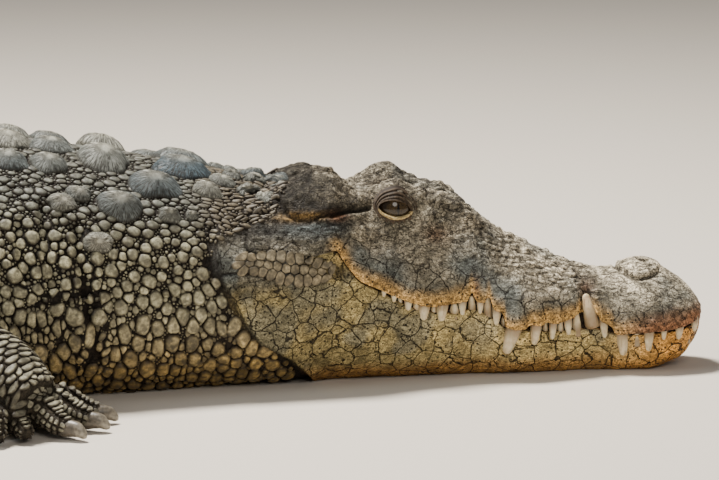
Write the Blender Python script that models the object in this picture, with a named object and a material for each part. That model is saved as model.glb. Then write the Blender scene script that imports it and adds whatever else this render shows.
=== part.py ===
"""A life-size Nile crocodile lying on the ground, as a still museum model.

The animal lies along X with its snout towards +X and its belly on the plane z = 0. Every length
along the body is a distance back from the snout tip, measured on the spine.
"""

import math

import bmesh
import bpy
import numpy as np
from mathutils import Vector

# Driving dimensions, in metres.
HEAD_LENGTH = 0.46  # snout tip to the back of the skull table
NECK_START = 0.505  # the back of the jaw
TRUNK_START = 0.80
TAIL_START = 1.70
TAIL_MIDDLE = 2.22
TAIL_END_PIECE = 2.74
BODY_LENGTH = 3.25
GAP = 0.0006  # between neighbouring pieces
ROOM = 0.0010  # between the legs and the body
EYE_RADIUS = 0.0225
EYE_BACK, EYE_OUT, EYE_HEIGHT = 0.348, 0.0435, 0.188  # the middle of an eyeball

# The spine swings sideways: (from, to, degrees turned), positive to the animal's left going back.
SPINE_BENDS = [(0.55, 1.10, -5.0), (1.15, 1.75, 9.0), (1.75, 2.45, 24.0), (2.35, 3.25, -46.0)]

# Sections of head and body. The side line is the mouth on the head and the widest level behind it.
# distance, half width above and below the side line, height of top, side line and underside.
SECTIONS = [
    (0.000, 0.007, 0.005, 0.067, 0.060, 0.050),
    (0.006, 0.028, 0.018, 0.077, 0.057, 0.034),
    (0.020, 0.043, 0.035, 0.092, 0.053, 0.014),
    (0.040, 0.051, 0.045, 0.102, 0.049, 0.003),
    (0.065, 0.055, 0.049, 0.108, 0.047, -0.004),
    (0.092, 0.052, 0.048, 0.107, 0.046, -0.004),
    (0.112, 0.047, 0.045, 0.109, 0.056, -0.004),
    (0.130, 0.046, 0.045, 0.114, 0.062, -0.004),
    (0.160, 0.056, 0.050, 0.125, 0.063, -0.004),
    (0.197, 0.067, 0.057, 0.142, 0.060, -0.004),
    (0.222, 0.070, 0.061, 0.155, 0.060, -0.004),
    (0.248, 0.069, 0.063, 0.173, 0.081, -0.004),
    (0.270, 0.069, 0.065, 0.187, 0.088, -0.004),
    (0.300, 0.074, 0.070, 0.194, 0.085, -0.004),
    (0.342, 0.086, 0.081, 0.193, 0.095, -0.004),
    (0.380, 0.096, 0.092, 0.202, 0.118, -0.004),
    (0.417, 0.104, 0.102, 0.207, 0.150, -0.004),
    (0.460, 0.112, 0.116, 0.211, 0.138, -0.005),
    (0.505, 0.120, 0.126, 0.220, 0.125, -0.006),
    (0.560, 0.131, 0.133, 0.233, 0.118, -0.008),
    (0.640, 0.150, 0.150, 0.247, 0.116, -0.012),
    (0.720, 0.166, 0.166, 0.262, 0.118, -0.014),
    (0.800, 0.182, 0.182, 0.274, 0.122, -0.016),
    (0.950, 0.205, 0.205, 0.285, 0.122, -0.020),
    (1.150, 0.227, 0.227, 0.292, 0.116, -0.024),
    (1.350, 0.228, 0.228, 0.290, 0.112, -0.024),
    (1.550, 0.190, 0.190, 0.272, 0.112, -0.018),
    (1.700, 0.152, 0.152, 0.250, 0.110, -0.013),
    (1.850, 0.126, 0.126, 0.228, 0.104, -0.010),
    (2.100, 0.097, 0.097, 0.195, 0.092, -0.008),
    (2.400, 0.068, 0.068, 0.160, 0.078, -0.006),
    (2.700, 0.045, 0.045, 0.128, 0.063, -0.004),
    (3.000, 0.027, 0.027, 0.094, 0.046, -0.003),
    (3.200, 0.011, 0.011, 0.054, 0.028, -0.001),
    (3.250, 0.004, 0.004, 0.030, 0.018, 0.004),
]
COLUMNS = np.array(SECTIONS)
ROUND_TOP = 2.0  # superellipse exponents of the two halves of a section
ROUND_UNDER = 2.5
SHARP_EDGE = math.radians(40)  # edges that turn more than this stay sharp

# Raised forms of the head: distance, sideways place, reach along and across, height.
HEAD_FORMS = {
    "nostril_disc": (0.069, 0.000, 0.034, 0.026, 0.012),
    "brow_right": (0.341, -0.047, 0.036, 0.019, 0.042),
    "brow_left": (0.344, 0.047, 0.036, 0.019, 0.050),
    "skull_corner_right": (0.426, -0.064, 0.042, 0.022, 0.046),
    "skull_corner_left": (0.438, 0.064, 0.038, 0.021, 0.029),
    "ridge_right": (0.292, -0.032, 0.032, 0.013, 0.015),
    "ridge_left": (0.292, 0.032, 0.032, 0.013, 0.019),
}

# Teeth of one side: distance, bare length, width at the root.
UPPER_TEETH = [
    (0.012, 0.010, 0.007),
    (0.032, 0.013, 0.008),
    (0.050, 0.010, 0.006),
    (0.0665, 0.021, 0.0105),
    (0.0955, 0.025, 0.0135),
    (0.116, 0.017, 0.0085),
    (0.157, 0.017, 0.0085),
    (0.1735, 0.016, 0.008),
    (0.1925, 0.023, 0.0115),
    (0.219, 0.031, 0.016),
    (0.237, 0.016, 0.009),
    (0.2545, 0.012, 0.007),
    (0.274, 0.013, 0.008),
    (0.2965, 0.017, 0.0125),
    (0.3165, 0.016, 0.012),
    (0.3345, 0.010, 0.0085),
    (0.3505, 0.008, 0.007),
]
LOWER_TEETH = [
    (0.0225, 0.007, 0.008),
    (0.0795, 0.006, 0.009),
    (0.1305, 0.029, 0.0145),
    (0.1455, 0.009, 0.009),
    (0.2465, 0.013, 0.008),
]
TOOTH_SIDES = 5
TOOTH_ROOT = 0.010  # the part hidden in the jaw
UPPER_SET_IN, LOWER_SET_IN = 0.42, 0.10  # how far in from the jaw's side, in tooth widths
UPPER_LEAN, LOWER_LEAN = 0.002, 0.0045  # how far out the tips lean
LONG_TOOTH = 0.028  # root to tip
FOOT_SIDES = 10
TOE_SIDES = 6

# Joints of each leg: distance back, distance out from the spine, height.
LEGS = {
    "foreleg_right": {
        "side": -1,
        "root": (0.925, 0.120, 0.130),
        "elbow": (1.000, 0.290, 0.100),
        "wrist": (0.797, 0.230, 0.078),
        "knuckles": (0.740, 0.270, 0.045),
        "thickness": (0.070, 0.060, 0.044, 0.038),
    },
    "foreleg_left": {
        "side": 1,
        "root": (0.925, 0.120, 0.130),
        "elbow": (1.015, 0.310, 0.092),
        "wrist": (0.850, 0.330, 0.060),
        "knuckles": (0.778, 0.348, 0.036),
        "thickness": (0.070, 0.060, 0.046, 0.033),
    },
    "hindleg_right": {
        "side": -1,
        "root": (1.610, 0.090, 0.125),
        "elbow": (1.455, 0.320, 0.100),
        "wrist": (1.655, 0.385, 0.056),
        "knuckles": (1.600, 0.470, 0.034),
        "thickness": (0.090, 0.068, 0.050, 0.036),
    },
    "hindleg_left": {
        "side": 1,
        "root": (1.610, 0.090, 0.125),
        "elbow": (1.480, 0.315, 0.100),
        "wrist": (1.690, 0.345, 0.056),
        "knuckles": (1.645, 0.436, 0.034),
        "thickness": (0.090, 0.068, 0.050, 0.036),
    },
}
# Toes, the inner one first: degrees fanned outwards, reach from the middle of the foot to the
# root of the claw, half thickness.
FORE_TOES = [(-38, 0.066, 0.0130), (-21, 0.068, 0.0136), (-2, 0.064, 0.0134), (24, 0.044, 0.0110),
             (50, 0.038, 0.0100)]
HIND_TOES = [(-20, 0.125, 0.0155), (-5, 0.145, 0.0160), (11, 0.146, 0.0150), (29, 0.122, 0.0120)]
CLAWED_TOES = 3  # the outer toes carry no claw
CLAW_LENGTH = 0.021
BLOCK_SIZE = 0.24  # of the cutters that square off a wrist

# The upright scales along the tail: two rows that draw together into one.
CREST_PITCH = 0.043
CREST_DOUBLE = (1.78, 2.50)
CREST_SINGLE_END = 3.21

# The large plates on the neck: distance, sideways place, half length, half width, height.
NECK_PLATES = [
    (0.573, 0.029, 0.033, 0.022, 0.015),
    (0.604, 0.072, 0.028, 0.019, 0.015),
    (0.642, 0.105, 0.026, 0.017, 0.014),
    (0.657, 0.041, 0.030, 0.023, 0.017),
]
PLATE_SIDES = 7
PLATE_RINGS = ((-0.8, 1.0), (0.25, 0.86), (1.0, 0.30))  # share of the height, share of the outline

# Behind the head: from, to, spacing of sections, points of a quarter above and below.
BODY_PIECES = {
    "neck": (NECK_START, TRUNK_START, 0.060, 7, 4),
    "trunk": (TRUNK_START, TAIL_START, 0.100, 7, 4),
    "tail_base": (TAIL_START, TAIL_MIDDLE, 0.090, 7, 4),
    "tail_middle": (TAIL_MIDDLE, TAIL_END_PIECE, 0.095, 5, 3),
    "tail_tip": (TAIL_END_PIECE, BODY_LENGTH, 0.095, 5, 3),
}

SPINE_STEP = 0.002
SPINE_S = np.arange(0.0, BODY_LENGTH + 0.05, SPINE_STEP)


def smooth_step(x, low, high):
    """0 before low, 1 after high, and an even curve between them."""
    t = np.clip((x - low) / (high - low), 0.0, 1.0)
    return t * t * (3.0 - 2.0 * t)


def spine_heading():
    """The direction that the animal faces at each spine step, in radians from +X."""
    total = np.zeros_like(SPINE_S)
    for start, end, degrees in SPINE_BENDS:
        total -= math.radians(degrees) * smooth_step(SPINE_S, start, end)
    return total


HEADING = spine_heading()
SPINE_X = -np.cumsum(np.cos(HEADING)) * SPINE_STEP
SPINE_Y = -np.cumsum(np.sin(HEADING)) * SPINE_STEP


def place(distance, sideways, height):
    """The world point that lies so far back along the spine, to the left of it and above the ground."""
    heading = float(np.interp(distance, SPINE_S, HEADING))
    x = float(np.interp(distance, SPINE_S, SPINE_X)) - math.sin(heading) * sideways
    y = float(np.interp(distance, SPINE_S, SPINE_Y)) + math.cos(heading) * sideways
    return Vector((x, y, height))


def curve_slopes(x, y):
    """Slopes for a cubic through the points that never overshoots them."""
    step = np.diff(y) / np.diff(x)
    slopes = np.zeros_like(y)
    inner = (step[:-1] * step[1:]) > 0
    mean = 2 * step[:-1] * step[1:] / np.where(inner, step[:-1] + step[1:], 1.0)
    slopes[1:-1] = np.where(inner, mean, 0.0)
    slopes[0] = step[0]
    slopes[-1] = step[-1]
    return slopes


SLOPES = [curve_slopes(COLUMNS[:, 0], COLUMNS[:, k]) for k in range(1, 6)]


def section_sizes(distance):
    """Half widths above and below the side line, then the heights of top, side line and underside."""
    x = COLUMNS[:, 0]
    i = int(np.clip(np.searchsorted(x, distance) - 1, 0, len(x) - 2))
    span = x[i + 1] - x[i]
    t = min(max((distance - x[i]) / span, 0.0), 1.0)
    a, b = (1 + 2 * t) * (1 - t) ** 2, t * (1 - t) ** 2
    c, d = t * t * (3 - 2 * t), t * t * (t - 1)
    sizes = []
    for k in range(1, 6):
        y, m = COLUMNS[:, k], SLOPES[k - 1]
        sizes.append(a * y[i] + b * span * m[i] + c * y[i + 1] + d * span * m[i + 1])
    return sizes


def form_height(distance, sideways):
    """How far the raised forms of the head lift its top at a point."""
    total = 0.0
    for at, across, reach, breadth, height in HEAD_FORMS.values():
        along = ((distance - at) / reach) ** 2
        total += height * math.exp(-along - ((sideways - across) / breadth) ** 2)
    return total


def arc(width, low, high, exponent, count, grow):
    """Points of a quarter section from its side to its middle, as (sideways, height)."""
    points = []
    for i in range(count + 1):
        angle = math.pi / 2 * i / count
        across = math.cos(angle) ** (2 / exponent) * (width + grow)
        up = math.sin(angle) ** (2 / exponent)
        points.append((across, low + (high - low) * up + math.copysign(grow, high - low) * up))
    return points


def upper_half(distance, count, grow=0.0):
    """The section's upper outline from the right side line over the top to the left one."""
    above, _, top, side, _ = section_sizes(distance)
    right = arc(above, side, top, ROUND_TOP, count, grow)
    outline = [(-t, z) for t, z in right] + [(t, z) for t, z in reversed(right[:-1])]
    return [(t, z + form_height(distance, t) * smooth_step(z, side, top)) for t, z in outline]


def lower_half(distance, count, grow=0.0):
    """The section's lower outline from the left side line under the belly to the right one."""
    _, below, _, side, under = section_sizes(distance)
    left = arc(below, side, under, ROUND_UNDER, count, grow)
    outline = left + [(-t, z) for t, z in reversed(left[:-1])]
    return [(t, max(z, -grow)) for t, z in outline]


def mesh_object(name, points, faces):
    """A mesh object of these world points and faces, with its faces turned outwards."""
    mesh = bpy.data.meshes.new(name)
    mesh.from_pydata([tuple(p) for p in points], [], faces)
    shape = bmesh.new()
    shape.from_mesh(mesh)
    bmesh.ops.recalc_face_normals(shape, faces=shape.faces)
    shape.to_mesh(mesh)
    shape.free()
    mesh.shade_smooth()
    mesh.set_sharp_from_angle(angle=SHARP_EDGE)
    made = bpy.data.objects.new(name, mesh)
    bpy.context.scene.collection.objects.link(made)
    return made


def loft(name, rings):
    """A closed solid through rings of equal count, with flat ends."""
    count = len(rings[0])
    points = [p for ring in rings for p in ring]
    faces = [tuple(range(count)), tuple(range(len(points) - count, len(points)))]
    for i in range(len(rings) - 1):
        for j in range(count):
            k = (j + 1) % count
            a, b = i * count, (i + 1) * count
            faces.append((a + j, b + j, b + k, a + k))
    return mesh_object(name, points, faces)


def boolean(target, tool, operation):
    """Cuts the tool from the target or joins it on, and leaves the tool hidden."""
    modifier = target.modifiers.new(operation.title(), "BOOLEAN")
    modifier.operation = operation
    modifier.solver = "EXACT"
    modifier.object = tool
    tool.hide_render = True
    tool.display_type = "WIRE"


def whole_ring(distance, upper, lower, grow=0.0):
    """A full section of the body as world points."""
    outline = upper_half(distance, upper, grow) + lower_half(distance, lower, grow)[1:-1]
    return [place(distance, t, z) for t, z in outline]


def stations(start, end, step):
    """Distances from start to end, at most a step apart."""
    count = max(2, math.ceil((end - start) / step) + 1)
    return np.linspace(start, end, count)


def body_length(name):
    """One named length of the body."""
    start, end, step, upper, lower = BODY_PIECES[name]
    return loft(name, [whole_ring(d, upper, lower) for d in stations(start, end - GAP, step)])


def body_room(*names):
    """The same lengths as one solid grown a little, to cut the legs clear of them."""
    distances = []
    for name in names:
        start, end, step, upper, lower = BODY_PIECES[name]
        distances += list(stations(start, end - GAP, step))
    rings = [whole_ring(d, upper, lower, ROOM) for d in distances]
    return loft("body_room", rings)


def tooth(root, tip, width):
    """Rings of a cone from its root to its blunt tip; a long tooth swells a little on the way."""
    axis = (tip - root).normalized()
    across = axis.orthogonal().normalized()
    other = axis.cross(across)
    rings = []
    long_tooth = (tip - root).length > LONG_TOOTH
    profile = ((0.0, 1.0), (0.55, 0.78), (0.95, 0.26)) if long_tooth else ((0.0, 1.1), (0.95, 0.3))
    for share, size in profile:
        centre = root.lerp(tip, share)
        radius = width / 2 * size
        turns = [2 * math.pi * i / TOOTH_SIDES for i in range(TOOTH_SIDES)]
        rings.append([centre + (across * math.cos(a) + other * math.sin(a)) * radius for a in turns])
    return rings


def teeth(name, rows, upper, grow=0.0):
    """All teeth of one jaw as one mesh of separate cones, both sides."""
    points, faces = [], []
    for distance, length, width in rows:
        above, below, _, mouth, _ = section_sizes(distance)
        edge = above - width * UPPER_SET_IN if upper else below - width * LOWER_SET_IN
        down = -1 if upper else 1
        for side in (-1, 1):
            root = place(distance, side * edge, mouth - down * TOOTH_ROOT)
            lean = UPPER_LEAN if upper else LOWER_LEAN
            tip = place(distance - 0.002, side * (edge + lean), mouth + down * (length + grow))
            rings = tooth(root, tip, width + 2 * grow)
            first = len(points)
            for ring in rings:
                points.extend(ring)
            n = TOOTH_SIDES
            faces.append(tuple(first + i for i in range(n)))
            for level in range(len(rings) - 1):
                a, b = first + level * n, first + (level + 1) * n
                faces.extend((a + i, a + (i + 1) % n, b + (i + 1) % n, b + i) for i in range(n))
            faces.append(tuple(first + (len(rings) - 1) * n + i for i in range(n)))
    return mesh_object(name, points, faces)


def ball(name, centre, radius, segments=10, rings=7):
    """A sphere standing on its poles."""
    mesh = bpy.data.meshes.new(name)
    shape = bmesh.new()
    bmesh.ops.create_uvsphere(shape, u_segments=segments, v_segments=rings, radius=radius)
    bmesh.ops.translate(shape, verts=shape.verts, vec=centre)
    shape.to_mesh(mesh)
    shape.free()
    mesh.shade_smooth()
    made = bpy.data.objects.new(name, mesh)
    bpy.context.scene.collection.objects.link(made)
    return made


def eye_centre(side):
    """The middle of an eyeball, low in its brow."""
    return place(EYE_BACK, side * EYE_OUT, EYE_HEIGHT)


HEAD_UPPER_COUNT = 8
JAW_LOWER_COUNT = 5
SNOUT_STEP = 0.0185
SKULL_STEP = 0.023


def head_distances():
    """Stations of the head, closer at the snout's rounded front."""
    front = [0.0, 0.003, 0.008, 0.016, 0.027]
    snout = list(stations(0.040, 0.300, SNOUT_STEP))
    return front + snout + list(stations(0.300, NECK_START - GAP, SKULL_STEP))[1:]


def head():
    """Skull and upper jaw with its teeth, open at the eye sockets."""
    rings = []
    for d in head_distances():
        rings.append([place(d, t, z) for t, z in upper_half(d, HEAD_UPPER_COUNT)])
    made = loft("head", rings)
    boolean(made, teeth("lower_teeth_room", LOWER_TEETH, False, grow=0.0007), "DIFFERENCE")
    boolean(made, teeth("upper_teeth", UPPER_TEETH, True), "UNION")
    for side, word in ((-1, "right"), (1, "left")):
        socket = ball(f"socket_{word}", eye_centre(side), EYE_RADIUS + 2 * GAP)
        boolean(made, socket, "DIFFERENCE")
        ball(f"eye_{word}", eye_centre(side), EYE_RADIUS)
    return made


def lower_jaw():
    """The lower jaw with its teeth, closed across the floor of the mouth."""
    rings = []
    for d in head_distances():
        outline = [(t, min(z, section_sizes(d)[3] - GAP)) for t, z in lower_half(d, JAW_LOWER_COUNT)]
        rings.append([place(d, t, z) for t, z in outline])
    made = loft("lower_jaw", rings)
    boolean(made, teeth("upper_teeth_room", UPPER_TEETH, True, grow=0.0007), "DIFFERENCE")
    boolean(made, teeth("lower_teeth", LOWER_TEETH, False), "UNION")
    return made


def plate(name, distance, sideways, half_length, half_width, height):
    """A keeled bony plate: an oval foot drawn up to a short ridge."""
    sizes = section_sizes(distance)
    flat = math.sqrt(max(0.0, 1 - (sideways / sizes[0]) ** 2))
    ground = sizes[3] + (sizes[2] - sizes[3]) * flat
    slope = (sizes[2] - sizes[3]) * sideways / (sizes[0] ** 2 * max(flat, 0.3))
    rings = []
    for share, size in PLATE_RINGS:
        ring = []
        for i in range(PLATE_SIDES):
            turn = 2 * math.pi * i / PLATE_SIDES
            d = distance + half_length * size * math.cos(turn)
            t = half_width * size * math.sin(turn)
            ring.append(place(d, sideways + t, ground + height * share - slope * t))
        rings.append(ring)
    return loft(name, rings)


def neck():
    """The neck with its shield of large plates."""
    made = body_length("neck")
    for i, (distance, sideways, *sizes) in enumerate(NECK_PLATES):
        for side in (-1, 1):
            tool = plate(f"plate_{i}_{side}", distance, side * sideways, *sizes)
            boolean(made, tool, "UNION")
    return made


def crest_scale(distance, sideways, height):
    """Corners and faces of one upright scale: a thin blade that leans back to its tip."""
    sizes = section_sizes(distance)
    flat = math.sqrt(max(0.0, 1 - (sideways / sizes[0]) ** 2))
    ground = sizes[3] + (sizes[2] - sizes[3]) * flat
    half, thick, foot = CREST_PITCH * 0.47, 0.0058, ground - 0.012
    points = [
        place(distance - half, sideways - thick, foot),
        place(distance - half, sideways + thick, foot),
        place(distance + half, sideways + thick, foot),
        place(distance + half, sideways - thick, foot),
        place(distance + half * 0.15, 1.12 * sideways, ground + height * 0.90),
        place(distance + half * 0.95, 1.12 * sideways, ground + height),
    ]
    return points, [(0, 3, 2, 1), (0, 1, 4), (1, 2, 5, 4), (2, 3, 5), (3, 0, 4, 5)]


def crest_rows():
    """Every upright tail scale as (distance, sideways, height)."""
    rows = []
    start, merge = CREST_DOUBLE
    for distance in np.arange(start, merge, CREST_PITCH):
        share = (distance - start) / (merge - start)
        apart = section_sizes(distance)[0] * (0.50 - 0.20 * share)
        height = 0.012 + 0.030 * share
        rows += [(distance, -apart, height), (distance, apart, height)]
    for distance in np.arange(merge + 0.01, CREST_SINGLE_END, CREST_PITCH):
        share = (distance - merge) / (CREST_SINGLE_END - merge)
        rows.append((distance, 0.0, 0.046 - 0.026 * share))
    return rows


def tail_piece(name):
    """One length of the tail with the crest scales that stand wholly on it."""
    made = body_length(name)
    start, end = BODY_PIECES[name][:2]
    points, faces = [], []
    for row in crest_rows():
        if not start + 0.022 < row[0] < end - 0.022:
            continue
        corners, sides = crest_scale(*row)
        faces += [tuple(len(points) + i for i in side) for side in sides]
        points += corners
    boolean(made, mesh_object(f"{name}_crest", points, faces), "UNION")
    return made


def sweep(name, centres, sizes, sides=10, first_axis=None, last_axis=None):
    """A closed tube of oval sections through the centres, kept above the ground."""
    rings = []
    last = len(centres) - 1
    for i, centre in enumerate(centres):
        before, after = centres[max(i - 1, 0)], centres[min(i + 1, last)]
        along = (after - before).normalized()
        if i == 0 and first_axis is not None:
            along = first_axis
        if i == last and last_axis is not None:
            along = last_axis
        across = along.cross(Vector((0, 0, 1))).normalized()
        up = across.cross(along)
        wide, tall = sizes[i]
        turns = [2 * math.pi * (j + 0.5) / sides for j in range(sides)]
        ring = [centre + across * wide * math.cos(a) + up * tall * math.sin(a) for a in turns]
        rings.append([Vector((p.x, p.y, max(p.z, 0.0))) for p in ring])
    return loft(name, rings)


def limb_tube(name, start, end, thick, thin, sides=10):
    """A tapering length of leg between two joints, running a little past both."""
    along = (end - start).normalized()
    shares = (-0.10, 0.12, 0.40, 0.70, 0.95)
    centres = [start.lerp(end, share) for share in shares] + [end + along * thin * 0.35]
    swell = (0.80, 1.0, 1.04, 1.0, 0.96, 0.60)
    sizes = []
    for share, factor in zip([*shares, 1.0], swell):
        radius = (thick + (thin - thick) * max(share, 0.0)) * factor
        sizes.append((radius, radius * 0.92))
    return sweep(name, centres, sizes, sides)


def block(name, plane_point, normal):
    """A cube standing on one plane, on the side that the normal points to."""
    mesh = bpy.data.meshes.new(name)
    shape = bmesh.new()
    bmesh.ops.create_cube(shape, size=BLOCK_SIZE)
    bmesh.ops.translate(shape, verts=shape.verts, vec=(0, 0, BLOCK_SIZE / 2))
    turn = normal.to_track_quat("Z", "Y").to_matrix()
    bmesh.ops.rotate(shape, verts=shape.verts, cent=(0, 0, 0), matrix=turn)
    bmesh.ops.translate(shape, verts=shape.verts, vec=plane_point)
    shape.to_mesh(mesh)
    shape.free()
    made = bpy.data.objects.new(name, mesh)
    bpy.context.scene.collection.objects.link(made)
    return made


def leg_joints(design):
    """Hip, bend, wrist and knuckles of a leg, and the direction that its wrist faces."""
    root, elbow, wrist, knuckles = (
        place(design[key][0], design["side"] * design[key][1], design[key][2])
        for key in ("root", "elbow", "wrist", "knuckles")
    )
    facing = (wrist - elbow).normalized() + (knuckles - wrist).normalized()
    return root, elbow, wrist, knuckles, Vector((facing.x, facing.y, 0)).normalized()


def leg(name, design):
    """Upper and lower leg joined at the bend, cut square at the wrist."""
    root, elbow, wrist, _, facing = leg_joints(design)
    hip, bend, ankle, _ = design["thickness"]
    made = limb_tube(name, root, elbow, hip, bend)
    shares = (-0.12, 0.15, 0.45, 0.75, 1.0, 1.12)
    swell = (0.82, 1.0, 1.0, 1.0, 1.0, 0.85)
    centres = [elbow.lerp(wrist, share) for share in shares]
    sizes = []
    for share, factor in zip(shares, swell):
        radius = (bend + (ankle - bend) * max(share, 0.0)) * factor
        sizes.append((radius, radius * 0.92))
    boolean(made, sweep(f"{name}_lower", centres, sizes), "UNION")
    boolean(made, block(f"{name}_end", wrist - facing * GAP / 2, facing), "DIFFERENCE")
    return made


def foot(name, design, toes):
    """The sole or palm with its toes, and where the claws of the inner ones start."""
    _, _, wrist, knuckles, facing = leg_joints(design)
    ankle, depth = design["thickness"][2], design["thickness"][3]
    direction = (knuckles - wrist).normalized()
    level = Vector((direction.x, direction.y, 0)).normalized()
    spread = Vector((level.y, -level.x, 0)) * -design["side"]
    reach = (knuckles - wrist).length
    centres = [wrist + direction * share * reach for share in (-0.50, 0.0, 0.65, 1.06)]
    sizes = [(ankle * 0.90, ankle * 0.84), (ankle, ankle * 0.86), (ankle, depth * 0.84),
             (ankle * 0.80, depth * 0.55)]
    made = sweep(name, centres, sizes, FOOT_SIDES)
    claws = []
    for number, (degrees, toe_reach, thick) in enumerate(toes):
        across = (number / (len(toes) - 1) - 0.5) * 1.45 * ankle
        start = wrist + direction * reach * 0.62 + spread * across
        turn = math.radians(degrees)
        heading = (level * math.cos(turn) + spread * math.sin(turn)).normalized()
        knots = (0.0, 0.42, 0.76, 1.0)
        heights = (depth * 0.60, depth * 0.86, thick * 1.35, thick * 0.90)
        bulge = (1.0, 1.08, 1.02, 0.70)
        path = [Vector((*(start + heading * toe_reach * k).xy, h)) for k, h in zip(knots, heights)]
        radii = [(thick * b, thick * b * 0.95) for b in bulge]
        toe = sweep(f"{name}_toe_{number}", path, radii, TOE_SIDES, last_axis=heading)
        boolean(made, toe, "UNION")
        if number < CLAWED_TOES:
            claws.append((path[-1], heading, thick))
    boolean(made, block(f"{name}_end", wrist + facing * GAP / 2, -facing), "DIFFERENCE")
    return claws


def claw(name, root, heading, thick):
    """A blunt claw, arched over and down to the ground, just clear of its toe."""
    base = root + heading * GAP * 1.5
    arch = ((0.0, 0.0000, 0.84), (0.55, -0.0012, 0.66), (1.0, -0.0082, 0.24))
    centres = [base + heading * CLAW_LENGTH * share + Vector((0, 0, lift)) for share, lift, _ in arch]
    sizes = [(thick * size * 0.76, thick * size * 0.88) for _, _, size in arch]
    return sweep(name, centres, sizes, TOE_SIDES, first_axis=heading)


def legs(room):
    """All four legs, feet and claws, cut clear of the body that they grow from."""
    for name, design in LEGS.items():
        boolean(leg(name, design), room, "DIFFERENCE")
        foot_name = name.replace("leg", "foot")
        toes = FORE_TOES if name.startswith("fore") else HIND_TOES
        for number, (root, heading, thick) in enumerate(foot(foot_name, design, toes)):
            claw(f"{foot_name}_claw_{number + 1}", root, heading, thick)


MATERIALS = {
    "hide": ((0.15, 0.14, 0.11, 1.0), 0.72),
    "belly_hide": ((0.42, 0.33, 0.17, 1.0), 0.68),
    "claw": ((0.22, 0.21, 0.17, 1.0), 0.45),
    "eye": ((0.09, 0.07, 0.03, 1.0), 0.08),
}


def material(name):
    """A plain Principled material for one kind of surface."""
    colour, roughness = MATERIALS[name]
    made = bpy.data.materials.new(name)
    made.use_nodes = True
    shader = made.node_tree.nodes["Principled BSDF"]
    shader.inputs["Base Color"].default_value = colour
    shader.inputs["Roughness"].default_value = roughness
    shader.inputs["Metallic"].default_value = 0.0
    return made


def finish_materials():
    """Gives every piece its material."""
    made = {name: material(name) for name in MATERIALS}
    for piece in bpy.context.scene.objects:
        if piece.hide_render:
            continue
        kind = "hide"
        if "claw" in piece.name:
            kind = "claw"
        elif piece.name.startswith("eye"):
            kind = "eye"
        elif piece.name == "lower_jaw":
            kind = "belly_hide"
        piece.data.materials.clear()
        piece.data.materials.append(made[kind])


def centre_on_origin():
    """Moves everything so that the origin lies on the ground under the middle of the model."""
    bpy.context.view_layer.update()
    graph = bpy.context.evaluated_depsgraph_get()
    low, high = Vector((9, 9, 9)), Vector((-9, -9, -9))
    for piece in bpy.context.scene.objects:
        if piece.hide_render:
            continue
        for corner in piece.evaluated_get(graph).bound_box:
            low = Vector(map(min, low, corner))
            high = Vector(map(max, high, corner))
    middle = (low + high) / 2
    for piece in bpy.context.scene.objects:
        piece.location = (-middle.x, -middle.y, 0)


def main():
    for old in list(bpy.data.objects):
        bpy.data.objects.remove(old)
    head()
    lower_jaw()
    neck()
    body_length("trunk")
    tail_piece("tail_base")
    tail_piece("tail_middle")
    tail_piece("tail_tip")
    legs(body_room("neck", "trunk", "tail_base"))
    finish_materials()
    centre_on_origin()


main()
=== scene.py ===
import math

import bmesh
import bpy
import numpy as np
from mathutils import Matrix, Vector
from mathutils.bvhtree import BVHTree
from mathutils.kdtree import KDTree


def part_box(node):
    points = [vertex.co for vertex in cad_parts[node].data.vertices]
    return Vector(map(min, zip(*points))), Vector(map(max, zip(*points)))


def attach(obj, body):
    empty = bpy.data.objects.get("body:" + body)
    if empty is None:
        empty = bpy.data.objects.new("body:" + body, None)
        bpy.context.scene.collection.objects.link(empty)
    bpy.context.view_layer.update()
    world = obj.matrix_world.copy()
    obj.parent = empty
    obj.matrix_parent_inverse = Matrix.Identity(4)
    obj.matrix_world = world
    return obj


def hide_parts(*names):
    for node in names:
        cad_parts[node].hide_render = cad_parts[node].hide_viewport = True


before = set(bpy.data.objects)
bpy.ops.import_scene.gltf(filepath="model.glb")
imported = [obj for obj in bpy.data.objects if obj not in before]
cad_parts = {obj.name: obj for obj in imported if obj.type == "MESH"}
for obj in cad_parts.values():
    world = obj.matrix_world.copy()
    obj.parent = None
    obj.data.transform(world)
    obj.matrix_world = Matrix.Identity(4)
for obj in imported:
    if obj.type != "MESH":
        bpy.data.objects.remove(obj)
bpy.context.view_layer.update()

# ---- Hide of head, neck, trunk and tail -------------------------------------------------------
# One skin of painted casting rubber from snout to tail tip, laid over the core. It is built ring
# by ring along the spine: brow, cheek and belly, the rolled lip, the gum and the lower jaw.

SIDES = ((-1, "right"), (1, "left"))  # sign of the way sideways, name
SPINE_BENDS = [(0.55, 1.10, -5.0), (1.15, 1.75, 9.0), (1.75, 2.45, 24.0), (2.35, 3.25, -46.0)]
SPINE_STEP = 0.002
BODY_LENGTH = 3.25
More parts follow.
